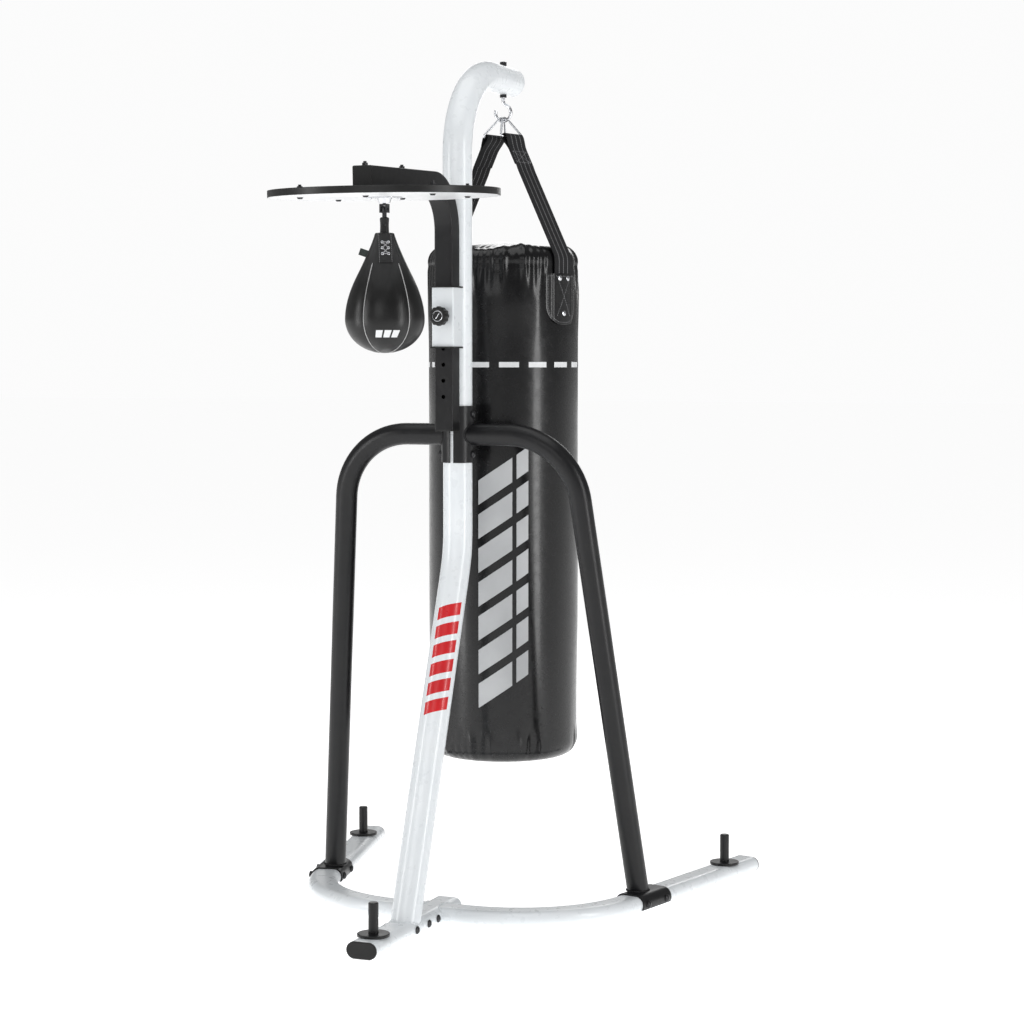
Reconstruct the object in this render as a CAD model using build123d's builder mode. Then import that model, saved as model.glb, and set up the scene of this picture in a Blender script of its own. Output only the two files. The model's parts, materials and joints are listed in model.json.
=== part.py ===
from build123d import *
import os
from math import acos, asin, atan2, cos, degrees, hypot, radians, sin, tan

# Punching bag stand: a welded and bolted tube frame that holds a heavy bag behind its mast
# and a speed bag under a round platform in front. Millimetres, +Z up. The upper mast's axis is
# X = 0, Y = 0, the floor is Z = 0, the platform is in front (-Y) and the heavy bag behind (+Y).

os.makedirs("parts", exist_ok=True)

# ---------------------------------------------------------------- general clearances
FIT_GAP = 0.3        # between separate pieces that only lie against each other
SLIP_GAP = 0.5       # one tube pushed inside another
RUN_GAP = 0.08       # radial, for a shaft that turns or slides in its own bore
HOLE_GAP = 0.3       # radial, bolt in a drilled hole

# ---------------------------------------------------------------- base
OVAL_W = 80.0        # flat-oval base tube
OVAL_H = 42.0
OVAL_WALL = 2.5
BEAM_FRONT_Y = -590.0
BEAM_REAR_Y = -75.0
CROSS_Y = -162.0     # line of the side tubes where they meet the beam
TUBE_CORNER_X = 373.0
TUBE_BEND_R = 346.0
TUBE_SPLAY = 13.5    # degrees outward, towards the rear
TUBE_REAR_Y = 700.0
SPIGOT_END_X = 98.0
CORE_FRONT_Y = -388.0
CORE_REAR_Y = -205.0
BEAM_BOLT_YS = (-355.0, -282.0, -225.0)
CORE_WALL = 3.0      # inner tubes that stiffen the beam and align the side tubes
CAP_T = 5.0          # visible thickness of every tube end cap
CAP_PLUG = 18.0      # how far a cap reaches into its tube

# ---------------------------------------------------------------- weight pegs
PEG_D = 25.0
PEG_POST_H = 75.0
PEG_FLANGE_D = 80.0
PEG_FLANGE_H = 7.0
PEG_EDGE = 2.0       # rounding of the flange and chamfer of the post
PEG_BOLT_SHORT = 3.0  # from the bolt's end to the bottom of its blind bore
PEG_ACCESS_GAP = 3.0  # radial, round the bolt's head in the tube's underside
FRONT_PEG_Y = -524.0
REAR_PEG_Y = 583.0

# ---------------------------------------------------------------- mast
MAST_D = 76.0
MAST_WALL = 2.5
MAST_KNEE_Z = 935.0
MAST_KNEE_R = 300.0
MAST_LEAN = 20.5     # degrees forward, below the knee
MAST_SPLIT_Z = 1240.0
ARCH_Z = 2184.0      # axis of the arch's level run
ARCH_R = 225.0
ARCH_END_Y = 375.0
SPLICE_WALL = 3.0
SPLICE_HALF = 100.0

# ---------------------------------------------------------------- clamp and legs
CLAMP_WALL = 4.0
CLAMP_LOW_Z = MAST_SPLIT_Z - 73.0
CLAMP_HIGH_Z = MAST_SPLIT_Z + 74.0
CLAMP_SLIT = 10.0
CLAMP_BOLT_ZS = (MAST_SPLIT_Z - 51.0, MAST_SPLIT_Z + 53.0)
LEG_D = 57.0
LEG_WALL = 2.0
LEG_Z = MAST_SPLIT_Z
LEG_CORNER_X = 313.0
LEG_BEND_R = 190.0
LEG_TOE_IN = 8.7     # from the base tube's axis to the leg's axis at the floor
LEG_FOOT_Y = 174.0
SADDLE_WALL = 4.0
SADDLE_LENGTH = 135.0
SADDLE_SKIRT_Z = 8.0
SADDLE_BOLT_PITCH = 90.0

# ---------------------------------------------------------------- fasteners
BOLT_R = 5.0
HEAD_R = 10.0
HEAD_H = 6.5
HEAD_RIM = 1.5
NUT_AF = 17.0
NUT_H = 8.0
NUT_THREAD = 1.5     # how far a bolt's end stands out of its nut

# ---------------------------------------------------------------- hook and rings
HOOK_Y = 316.0
HOOK_WIRE_R = 4.5
HOOK_R = 22.0
HOOK_JOG_R = 12.0
HOOK_BOTTOM_Z = ARCH_Z - 114.0
HOOK_LIP = 20.0      # degrees the tip turns in past upright
HOOK_TOP_NUT = 10.0
HOOK_PROUD = 2.0     # wire that stands out of its top nut
RING_WIRE_R = 3.0
RING_HALF_GAP = 3.7  # half the spacing of the two rings on the hook
RING_CLEAR = 1.2
RING_BAR = 100.0
RING_BAR_Z = HOOK_BOTTOM_Z - 40.0
RING_TOP_R = 16.0
RING_CORNER_R = 6.0
BAG_YAW = -17.0      # degrees, direction of the right strap from +X

# ---------------------------------------------------------------- heavy bag
BAG_R = 202.0
BAG_LENGTH = 1375.0
BAG_SHOULDER_R = 40.0
BAG_RIM_Z = RING_BAR_Z - 335.0   # where the side starts to turn in
BAG_TOP_Z = BAG_RIM_Z + BAG_SHOULDER_R
BAG_BOTTOM_Z = BAG_TOP_Z - BAG_LENGTH
BAG_FOOT_R = 45.0
COVER_T = 2.5
STRAP_W = 73.0
STRAP_T = 3.0
STRAP_END_Z = BAG_RIM_Z - 147.0
STRAP_LOOP_GAP = 3.9
PATCH_W = 128.0
PATCH_LOW_Z = BAG_RIM_Z - 170.0
PATCH_HIGH_Z = BAG_RIM_Z - 34.0
PATCH_T = 2.0
RIVET_R = 7.0
RIVET_SHANK_R = 3.0
RIVET_H = 2.5
RIVET_RIM = 0.5
RIVET_SPREAD = 34.0
RIVET_TOP_Z = BAG_RIM_Z - 46.0
RIVET_LOW_Z = BAG_RIM_Z - 139.0

# ---------------------------------------------------------------- collar, arm and pop pin
PIN_Z = 1543.0
ARM_W = 50.0
COLLAR_WALL = 2.5
COLLAR_LOW_Z = PIN_Z - 77.0
COLLAR_HIGH_Z = PIN_Z + 73.0
BUSH_WALL = 1.9
BUSH_FLANGE_OUT = 6.0
BUSH_FLANGE_T = 4.0
BUSH_DEPTH = 25.0
ARM_WALL = 2.5
ARM_CORNER_R = 4.0
ARM_LOW_Z = 1250.0
ARM_RUN_Z = 1881.5   # where the two runs' axes meet
ARM_BEND_R = 118.0
ARM_DROOP = 2.1      # degrees, the forward run and the platform dip to the front
ARM_PAST_BRACE = 13.0  # from the front brace's middle to the arm's end
ARM_CAP_PLUG = 7.0   # short, so that it stays clear of the front platform bolt
HOLE_PITCH = 41.0
HOLES_ABOVE = 1
HOLES_BELOW = 5
PIN_R = 5.0
PIN_REACH = 4.0      # past the arm's front wall
PIN_SHOULDER_R = 7.6
PIN_SHOULDER_T = 3.0
PIN_SHOULDER_GAP = 1.0
PIN_POINT = 1.0      # chamfer of the pin's tip
PIN_STEM_R = 4.0
HOUSING_R = 11.0
HOUSING_BORE_R = 8.0
HOUSING_BASE = 4.0
HOUSING_CHAMBER = 19.5
HOUSING_END = 2.5
SPRING_R = 6.0
SPRING_WIRE_R = 0.6
SPRING_TURNS = 5.0
KNOB_R = 25.0
KNOB_SKIRT = 15.0    # knob depth that covers the housing
KNOB_FACE = 6.0
KNOB_START = 12.0    # from the collar's face to the knob's inner edge
KNOB_CLEAR = 1.0     # radial, from the housing to the knob's skirt
KNOB_EDGE_R = 3.0

# ---------------------------------------------------------------- platform and swivel
PLATFORM_R = 280.0
PLATFORM_BEHIND = 75.7  # from the arm's front face to the platform's rear edge
BOARD_T = 16.0
FACING_T = 1.0
BAND_T = 2.0
BRACE_T = 3.0
BRACE_W = 40.0
BRACE_L = 392.0
BRACE_HALF_SPACING = 105.0
PLATE_BOLT_X = 173.0
PLATE_BOLT_R = 4.0
PLATE_HEAD_TAPER = 35.0
PLATE_BOLT_TAIL = 4.0
PLATE_NUT_AF = 13.0
PLATE_NUT_H = 6.5
SWIVEL_PLATE_W = 70.0
SWIVEL_PLATE_T = 3.0
SWIVEL_DOME_R = 18.0
SWIVEL_DOME_H = 12.0
SWIVEL_DOME_TAPER = 20.0
SWIVEL_CORNER_R = 8.0
SWIVEL_SCREW_HALF = 26.0
SWIVEL_SCREW_R = 2.5
SWIVEL_STEM_R = 4.0
SWIVEL_HEAD_R = 8.0
SWIVEL_HEAD_T = 4.0
SWIVEL_HEAD_PLAY = 0.5  # above and below the head in its pocket
SWIVEL_HEAD_SIDE = 1.0  # round the head in its pocket
SWIVEL_ROOF = 2.0       # metal over the pocket
FORK_GAP = 12.0
FORK_CHEEK = 4.0
FORK_W = 16.0
FORK_PIN_R = 3.0
FORK_PIN_DROP = 30.0  # from the platform's underside to the clevis pin
FORK_BRIDGE = 4.0
FORK_BELOW = 2.0      # from the dome to the fork's bridge
FORK_PIN_PROUD = 2.0
SCREW_SHORT = 3.0     # wood left over the swivel's screws
SCREW_TAPER = 30.0
LINK_T = 6.0
LINK_END_R = 8.0
LINK_WAIST = 1.6      # link's width as a multiple of its end radius
LINK_TAIL = 4.0

# ---------------------------------------------------------------- speed bag
SPEED_R = 95.0
SPEED_DROP = 57.3    # from the clevis pin to the top of the bag's neck
SPEED_LENGTH = 287.0
SPEED_WIDEST_UP = 81.0
SPEED_NECK_R = 24.0
SPEED_SKIN = 2.2
BLADDER_T = 1.5
LOOP_W = 26.0
LOOP_T = 12.0

SIDES = (("left", -1), ("right", 1))

# ---------------------------------------------------------------- derived places
ROD_HOLE_R = BOLT_R + HOLE_GAP
OVAL_Z = OVAL_H / 2
OVAL_IN_W = OVAL_W - 2 * OVAL_WALL
OVAL_IN_H = OVAL_H - 2 * OVAL_WALL
MAST_R = MAST_D / 2
COLLAR_W = ARM_W + 2 * (FIT_GAP + BUSH_WALL + FIT_GAP + COLLAR_WALL)
BUSH_FLANGE_W = COLLAR_W + BUSH_FLANGE_OUT
ARM_IN_W = ARM_W - 2 * ARM_WALL
ARM_Y = -(MAST_R + FIT_GAP + COLLAR_W / 2)
COLLAR_FACE_Y = ARM_Y - COLLAR_W / 2
PLATFORM_Y = ARM_Y - ARM_W / 2 - PLATFORM_BEHIND - PLATFORM_R
ARM_FRONT_Y = PLATFORM_Y - BRACE_HALF_SPACING - ARM_PAST_BRACE
CLAMP_R = MAST_R + FIT_GAP + CLAMP_WALL
LEG_FOOT_X = TUBE_CORNER_X + (LEG_FOOT_Y - CROSS_Y) * tan(radians(TUBE_SPLAY)) - LEG_TOE_IN


def save(piece, name):
    """Label a finished piece and write its STEP file."""
    piece.part.label = name
    export_step(piece.part, f"parts/{name}.step")


def beam_plane(y):
    """Plane across the base beam, normal towards the front, centred on the tube."""
    return Plane(origin=(0, y, OVAL_Z), x_dir=(1, 0, 0), z_dir=(0, -1, 0))


def beam_envelope(gap):
    """Solid that clears the base beam by a gap, for the pieces coped against it."""
    with BuildPart() as envelope:
        with BuildSketch(beam_plane(BEAM_REAR_Y + OVAL_W)):
            SlotOverall(OVAL_W + 2 * gap, OVAL_H + 2 * gap)
        extrude(amount=BEAM_REAR_Y - BEAM_FRONT_Y + 2 * OVAL_W)
    return envelope.part


def tube_path(sign):
    """Axis of one side tube, from the beam's middle to its rear end."""
    run = TUBE_REAR_Y - CROSS_Y
    rear_x = TUBE_CORNER_X + run * tan(radians(TUBE_SPLAY))
    with BuildLine() as path:
        FilletPolyline(
            (0, CROSS_Y, OVAL_Z),
            (sign * TUBE_CORNER_X, CROSS_Y, OVAL_Z),
            (sign * rear_x, TUBE_REAR_Y, OVAL_Z),
            radius=TUBE_BEND_R,
        )
    return path.line


def on_tube(sign, y):
    """Point on a side tube's straight rear run at a given Y."""
    x = TUBE_CORNER_X + (y - CROSS_Y) * tan(radians(TUBE_SPLAY))
    return Vector(sign * x, y, OVAL_Z)


def across_tube(sign, y, along=0.0):
    """Plane on a side tube's straight run, X across the tube (+X side), Y up, Z along it."""
    heading = Vector(sign * sin(radians(TUBE_SPLAY)), cos(radians(TUBE_SPLAY)), 0)
    across = Vector(cos(radians(TUBE_SPLAY)), -sign * sin(radians(TUBE_SPLAY)), 0)
    return Plane(
        origin=on_tube(sign, y) + heading * along,
        x_dir=across,
        z_dir=across.cross(Vector(0, 0, 1)),
    )


def dome(rim_r, rim_z, top_z):
    """Arc of a spherical dome from its rim to its top on the Z axis, in the line being built."""
    rise = top_z - rim_z
    ball_r = (rise**2 + rim_r**2) / (2 * rise)
    half = degrees(asin(rim_r / ball_r))
    return CenterArc((0, top_z - ball_r), ball_r, 90 - half, half)


def bolt(grip, tail):
    """Domed bolt on the Z axis: head above z = 0, shank down to its end below the nut."""
    length = grip + tail
    with BuildPart() as made:
        with BuildSketch(Plane.XZ):
            with BuildLine():
                add(dome(HEAD_R, HEAD_RIM, HEAD_H))
                Polyline((HEAD_R, HEAD_RIM), (HEAD_R, 0), (BOLT_R, 0), (BOLT_R, -length),
                         (0, -length), (0, HEAD_H))
            make_face()
        revolve(axis=Axis.Z)
    return made.part


def nut(flats, height, bore_r):
    """Hexagon nut standing on z = 0, with its bore on the Z axis."""
    with BuildPart() as made:
        with BuildSketch():
            RegularPolygon(flats / 2, 6, major_radius=False)
            Circle(bore_r, mode=Mode.SUBTRACT)
        extrude(amount=height)
    return made.part


def drill(plane, radius, reach):
    """Cut a hole both ways along a plane's normal through the part being built."""
    with BuildSketch(plane) as mouth:
        Circle(radius)
    extrude(mouth.sketch, amount=reach, both=True, mode=Mode.SUBTRACT)


def oval_cap(plane):
    """End cap of a flat-oval tube: a rounded face plate outside and a plug inside."""
    with BuildPart() as cap:
        with BuildSketch(plane):
            SlotOverall(OVAL_W, OVAL_H)
        extrude(amount=CAP_T)
        fillet(cap.faces().sort_by(Axis(plane.origin, plane.z_dir))[-1].edges(), CAP_T / 2)
        with BuildSketch(plane):
            SlotOverall(OVAL_IN_W - 2 * FIT_GAP, OVAL_IN_H - 2 * FIT_GAP)
        extrude(amount=-CAP_PLUG)
    return cap


# ================================================================ base
BEAM_BOLT_PLANES = [
    Plane(origin=(OVAL_W / 2 + FIT_GAP / 2, y, OVAL_Z), x_dir=(0, 1, 0), z_dir=(1, 0, 0))
    for y in BEAM_BOLT_YS
]
PEG_SPOTS = {
    "front": Vector(0, FRONT_PEG_Y, OVAL_H),
    "left": on_tube(-1, REAR_PEG_Y) + Vector(0, 0, OVAL_Z),
    "right": on_tube(1, REAR_PEG_Y) + Vector(0, 0, OVAL_Z),
}
PEG_ACCESS_R = NUT_AF / 2 + PEG_ACCESS_GAP
CORE_W = OVAL_IN_W - 2 * SLIP_GAP
CORE_H = OVAL_IN_H - 2 * SLIP_GAP


def peg_holes(spot):
    """Bolt hole in the top wall and a larger access hole in the bottom wall of a base tube."""
    drill(Plane(spot), ROD_HOLE_R, OVAL_Z)
    drill(Plane(spot - Vector(0, 0, OVAL_H)), PEG_ACCESS_R, OVAL_Z)


with BuildPart() as base_beam:
    with BuildSketch(beam_plane(BEAM_REAR_Y)):
        SlotOverall(OVAL_W, OVAL_H)
        SlotOverall(OVAL_IN_W, OVAL_IN_H, mode=Mode.SUBTRACT)
    extrude(amount=BEAM_REAR_Y - BEAM_FRONT_Y)
    for plane in BEAM_BOLT_PLANES:
        drill(plane, ROD_HOLE_R, 2 * OVAL_W)
    peg_holes(PEG_SPOTS["front"])
save(base_beam, "base_beam")

beam_front_cap = oval_cap(beam_plane(BEAM_FRONT_Y))
save(beam_front_cap, "beam_front_cap")

beam_rear_cap = oval_cap(Plane(origin=(0, BEAM_REAR_Y, OVAL_Z), x_dir=(1, 0, 0), z_dir=(0, 1, 0)))
save(beam_rear_cap, "beam_rear_cap")

with BuildPart() as beam_core:
    with BuildSketch(beam_plane(CORE_REAR_Y)):
        SlotOverall(CORE_W, CORE_H)
        SlotOverall(CORE_W - 2 * CORE_WALL, CORE_H - 2 * CORE_WALL, mode=Mode.SUBTRACT)
    extrude(amount=CORE_REAR_Y - CORE_FRONT_Y)
    for plane in BEAM_BOLT_PLANES:
        drill(plane, ROD_HOLE_R, 2 * OVAL_W)
save(beam_core, "beam_core")

with BuildPart() as base_spigots:
    for _, sign in SIDES:
        with BuildSketch(Plane(origin=(0, CROSS_Y, OVAL_Z), x_dir=(0, 1, 0), z_dir=(sign, 0, 0))):
            SlotOverall(CORE_W, CORE_H)
            SlotOverall(CORE_W - 2 * CORE_WALL, CORE_H - 2 * CORE_WALL, mode=Mode.SUBTRACT)
        extrude(amount=SPIGOT_END_X)
    add(beam_envelope(FIT_GAP), mode=Mode.SUBTRACT)
save(base_spigots, "base_spigots")

SADDLE_BOLT_STEPS = (-SADDLE_BOLT_PITCH / 2, SADDLE_BOLT_PITCH / 2)


def saddle_bolt_plane(sign, step):
    """Plane at a saddle bolt's head, normal to the tube's side that faces +X."""
    frame = across_tube(sign, LEG_FOOT_Y, step)
    return Plane(
        origin=frame.origin + frame.x_dir * (OVAL_W / 2 + FIT_GAP + SADDLE_WALL),
        x_dir=(0, 0, 1),
        z_dir=frame.x_dir,
    )


for side, sign in SIDES:
    path = tube_path(sign)
    with BuildPart() as base_tube:
        with BuildSketch(Plane(origin=path @ 0, x_dir=(0, 1, 0), z_dir=path % 0)):
            SlotOverall(OVAL_W, OVAL_H)
            SlotOverall(OVAL_IN_W, OVAL_IN_H, mode=Mode.SUBTRACT)
        sweep(path=path)
        add(beam_envelope(FIT_GAP), mode=Mode.SUBTRACT)
        peg_holes(PEG_SPOTS[side])
        for step in SADDLE_BOLT_STEPS:
            drill(saddle_bolt_plane(sign, step), ROD_HOLE_R, 2 * OVAL_W)
    save(base_tube, f"{side}_base_tube")

with BuildPart() as tube_end_caps:
    for _, sign in SIDES:
        path = tube_path(sign)
        heading = path % 1
        add(oval_cap(Plane(origin=path @ 1, x_dir=heading.cross(Vector(0, 0, 1)), z_dir=heading)).part)
save(tube_end_caps, "tube_end_caps")

BEAM_GRIP = OVAL_W + FIT_GAP
with BuildPart() as base_bolts:
    with Locations(*BEAM_BOLT_PLANES):
        add(bolt(BEAM_GRIP, NUT_H + NUT_THREAD))
save(base_bolts, "base_bolts")

# ================================================================ weight pegs
for name, spot in PEG_SPOTS.items():
    with BuildPart() as weight_peg:
        with BuildSketch(Plane(spot)):
            Circle(PEG_FLANGE_D / 2)
        extrude(amount=PEG_FLANGE_H)
        fillet(weight_peg.edges().filter_by(GeomType.CIRCLE).sort_by(Axis.Z)[-1], PEG_EDGE)
        with BuildSketch(Plane(spot).offset(PEG_FLANGE_H)):
            Circle(PEG_D / 2)
        extrude(amount=PEG_POST_H)
        chamfer(weight_peg.edges().filter_by(GeomType.CIRCLE).sort_by(Axis.Z)[-1], PEG_EDGE)
        with BuildSketch(Plane(spot)):
            Circle(BOLT_R + RUN_GAP)
        extrude(amount=PEG_FLANGE_H + PEG_POST_H / 2, mode=Mode.SUBTRACT)
    save(weight_peg, f"{name}_weight_peg")

with BuildPart() as peg_bolts:
    for spot in PEG_SPOTS.values():
        head_top = Plane(spot).offset(-OVAL_WALL)
        with BuildSketch(head_top):
            RegularPolygon(NUT_AF / 2, 6, major_radius=False)
        extrude(amount=-HEAD_H)
        with BuildSketch(head_top):
            Circle(BOLT_R)
        extrude(amount=OVAL_WALL + PEG_FLANGE_H + PEG_POST_H / 2 - PEG_BOLT_SHORT)
save(peg_bolts, "peg_bolts")

# ================================================================ mast
CLAMP_BOLT_PLANES = [
    Plane(origin=(CLAMP_R, 0, z), x_dir=(0, 1, 0), z_dir=(1, 0, 0)) for z in CLAMP_BOLT_ZS
]
MAST_FOOT = Vector(0, -MAST_KNEE_Z * tan(radians(MAST_LEAN)), 0)


def ring_tube(path, radius, wall):
    """Sweep a round tube along a path, in the part being built."""
    with BuildSketch(Plane(origin=path @ 0, z_dir=path % 0)) as section:
        Circle(radius)
        Circle(radius - wall, mode=Mode.SUBTRACT)
    sweep(section.sketch, path=path)


with BuildLine() as mast_path:
    FilletPolyline(
        (0, 0, MAST_SPLIT_Z - FIT_GAP), (0, 0, MAST_KNEE_Z), MAST_FOOT, radius=MAST_KNEE_R
    )
with BuildPart() as lower_mast:
    ring_tube(mast_path.line, MAST_R, MAST_WALL)
    add(beam_envelope(FIT_GAP), mode=Mode.SUBTRACT)
    with BuildSketch(Plane.XY.offset(OVAL_Z)):
        with Locations((MAST_FOOT.X, MAST_FOOT.Y)):
            Rectangle(3 * MAST_D, 3 * MAST_D)
    extrude(amount=-OVAL_W, mode=Mode.SUBTRACT)
    for plane, outward in [(plane, 1) for plane in BEAM_BOLT_PLANES] + [
        (plane.offset(-BEAM_GRIP), -1) for plane in BEAM_BOLT_PLANES
    ]:
        with BuildSketch(plane):
            Circle(HEAD_R + FIT_GAP)
        extrude(amount=outward * MAST_R, mode=Mode.SUBTRACT)
    drill(CLAMP_BOLT_PLANES[0], ROD_HOLE_R, 2 * MAST_D)
save(lower_mast, "lower_mast")

with BuildPart() as mast_splice:
    with BuildSketch(Plane.XY.offset(MAST_SPLIT_Z - SPLICE_HALF)):
        Circle(MAST_R - MAST_WALL - FIT_GAP)
        Circle(MAST_R - MAST_WALL - FIT_GAP - SPLICE_WALL, mode=Mode.SUBTRACT)
    extrude(amount=2 * SPLICE_HALF)
    for plane in CLAMP_BOLT_PLANES:
        drill(plane, ROD_HOLE_R, 2 * MAST_D)
save(mast_splice, "mast_splice")

HOOK_HOLE = Plane(origin=(0, HOOK_Y, ARCH_Z))
with BuildLine() as arch_path:
    FilletPolyline(
        (0, 0, MAST_SPLIT_Z + FIT_GAP), (0, 0, ARCH_Z), (0, ARCH_END_Y, ARCH_Z), radius=ARCH_R
    )
with BuildPart() as upper_mast:
    ring_tube(arch_path.line, MAST_R, MAST_WALL)
    drill(CLAMP_BOLT_PLANES[1], ROD_HOLE_R, 2 * MAST_D)
    drill(HOOK_HOLE, HOOK_WIRE_R + HOLE_GAP, MAST_D)
save(upper_mast, "upper_mast")

with BuildPart() as arch_end_cap:
    with BuildSketch(Plane(origin=(0, ARCH_END_Y, ARCH_Z), z_dir=(0, 1, 0))):
        Circle(MAST_R)
    extrude(amount=CAP_T)
    fillet(arch_end_cap.faces().sort_by(Axis.Y)[-1].edges(), CAP_T / 2)
    with BuildSketch(Plane(origin=(0, ARCH_END_Y, ARCH_Z), z_dir=(0, 1, 0))):
        Circle(MAST_R - MAST_WALL - FIT_GAP)
    extrude(amount=-CAP_PLUG)
save(arch_end_cap, "arch_end_cap")

# ================================================================ clamp, legs and saddles
for side, sign in SIDES:
    with BuildPart() as clamp:
        with BuildSketch(Plane.XY.offset(CLAMP_LOW_Z)):
            Circle(CLAMP_R)
            Circle(MAST_R + FIT_GAP, mode=Mode.SUBTRACT)
            with Locations((sign * (CLAMP_R / 2 + CLAMP_SLIT / 4), 0)):
                Rectangle(CLAMP_R - CLAMP_SLIT / 2, 2 * CLAMP_R, mode=Mode.INTERSECT)
        extrude(amount=CLAMP_HIGH_Z - CLAMP_LOW_Z)
        for plane in CLAMP_BOLT_PLANES:
            drill(plane, ROD_HOLE_R, 2 * MAST_D)
    save(clamp, f"clamp_{side}")

with BuildPart() as clamp_bolts:
    with Locations(*CLAMP_BOLT_PLANES):
        add(bolt(2 * CLAMP_R, NUT_H + NUT_THREAD))
save(clamp_bolts, "clamp_bolts")

SADDLE_TOP_Z = OVAL_H + FIT_GAP + SADDLE_WALL
for side, sign in SIDES:
    with BuildLine() as leg_path:
        FilletPolyline(
            (0, 0, LEG_Z),
            (sign * LEG_CORNER_X, 0, LEG_Z),
            (sign * LEG_FOOT_X, LEG_FOOT_Y, 0),
            radius=LEG_BEND_R,
        )
    with BuildPart() as leg:
        ring_tube(leg_path.line, LEG_D / 2, LEG_WALL)
        with BuildSketch(Plane.XY.offset(CLAMP_LOW_Z - LEG_D)):
            Circle(CLAMP_R + FIT_GAP)
        extrude(amount=CLAMP_HIGH_Z - CLAMP_LOW_Z + 2 * LEG_D, mode=Mode.SUBTRACT)
        with BuildSketch(Plane.XY.offset(SADDLE_TOP_Z + FIT_GAP)):
            with Locations((sign * LEG_FOOT_X, LEG_FOOT_Y)):
                Rectangle(4 * LEG_D, 4 * LEG_D)
        extrude(amount=-2 * OVAL_H, mode=Mode.SUBTRACT)
    save(leg, f"{side}_leg")

for side, sign in SIDES:
    with BuildPart() as saddle:
        with BuildSketch(across_tube(sign, LEG_FOOT_Y)):
            SlotOverall(OVAL_W + 2 * (FIT_GAP + SADDLE_WALL), OVAL_H + 2 * (FIT_GAP + SADDLE_WALL))
            SlotOverall(OVAL_W + 2 * FIT_GAP, OVAL_H + 2 * FIT_GAP, mode=Mode.SUBTRACT)
            with Locations((0, SADDLE_SKIRT_Z - OVAL_Z)):
                Rectangle(2 * OVAL_W, 2 * OVAL_H, align=(Align.CENTER, Align.MIN), mode=Mode.INTERSECT)
        extrude(amount=SADDLE_LENGTH / 2, both=True)
        for step in SADDLE_BOLT_STEPS:
            drill(saddle_bolt_plane(sign, step), ROD_HOLE_R, 2 * OVAL_W)
    save(saddle, f"{side}_saddle")

SADDLE_GRIP = OVAL_W + 2 * (FIT_GAP + SADDLE_WALL)
SADDLE_BOLT_PLANES = [
    saddle_bolt_plane(sign, step) for _, sign in SIDES for step in SADDLE_BOLT_STEPS
]
with BuildPart() as saddle_bolts:
    with Locations(*SADDLE_BOLT_PLANES):
        add(bolt(SADDLE_GRIP, NUT_H + NUT_THREAD))
save(saddle_bolts, "saddle_bolts")

with BuildPart() as frame_nuts:
    for planes, grip in (
        (BEAM_BOLT_PLANES, BEAM_GRIP),
        (CLAMP_BOLT_PLANES, 2 * CLAMP_R),
        (SADDLE_BOLT_PLANES, SADDLE_GRIP),
    ):
        with Locations(*[plane.offset(-grip - NUT_H) for plane in planes]):
            add(nut(NUT_AF, NUT_H, BOLT_R + RUN_GAP))
save(frame_nuts, "frame_nuts")

# ================================================================ hook
HOOK_CENTRE_Z = HOOK_BOTTOM_Z + HOOK_WIRE_R + HOOK_R
HOOK_JOG = degrees(acos(1 - HOOK_R / (HOOK_R + HOOK_JOG_R)))
HOOK_SHANK_Z = HOOK_CENTRE_Z + (HOOK_R + HOOK_JOG_R) * sin(radians(HOOK_JOG))
HOOK_TOP_Z = ARCH_Z + MAST_R + HOOK_TOP_NUT + HOOK_PROUD
HOOK_PLANE = Plane(origin=(0, HOOK_Y, 0), x_dir=(1, 0, 0), z_dir=(0, -1, 0))

with BuildPart() as hook:
    with BuildLine(HOOK_PLANE) as hook_path:
        Line((0, HOOK_TOP_Z), (0, HOOK_SHANK_Z))
        CenterArc((HOOK_JOG_R, HOOK_SHANK_Z), HOOK_JOG_R, 180, HOOK_JOG)
        CenterArc((0, HOOK_CENTRE_Z), HOOK_R, HOOK_JOG, -(HOOK_JOG + 180 + HOOK_LIP))
    with BuildSketch(Plane(origin=(0, HOOK_Y, HOOK_TOP_Z), z_dir=(0, 0, -1))):
        Circle(HOOK_WIRE_R)
    sweep(path=hook_path.line)
save(hook, "hook")

with BuildPart() as hook_nuts:
    with BuildSketch(Plane(origin=(0, HOOK_Y, ARCH_Z + MAST_R + FIT_GAP))):
        RegularPolygon(NUT_AF / 2, 6, major_radius=False)
        Circle(HOOK_WIRE_R + RUN_GAP, mode=Mode.SUBTRACT)
    extrude(amount=HOOK_TOP_NUT)
    with BuildSketch(Plane(origin=(0, HOOK_Y, ARCH_Z - MAST_R - FIT_GAP))):
        RegularPolygon(NUT_AF / 2, 6, major_radius=False)
        Circle(HOOK_WIRE_R + RUN_GAP, mode=Mode.SUBTRACT)
    extrude(amount=-NUT_H)
save(hook_nuts, "hook_nuts")

# ================================================================ rings
STRAP_DIR = {
    sign: Vector(sign * cos(radians(BAG_YAW)), sign * sin(radians(BAG_YAW)), 0) for _, sign in SIDES
}
BAR_DIR = Vector(-sin(radians(BAG_YAW)), cos(radians(BAG_YAW)), 0)
RING_TOP_Z = HOOK_CENTRE_Z - HOOK_R + HOOK_WIRE_R + RING_CLEAR + RING_WIRE_R
SHOULDER_IN = BAG_R - BAG_SHOULDER_R
STRAP_LIE = BAG_SHOULDER_R + FIT_GAP + STRAP_T / 2
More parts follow.
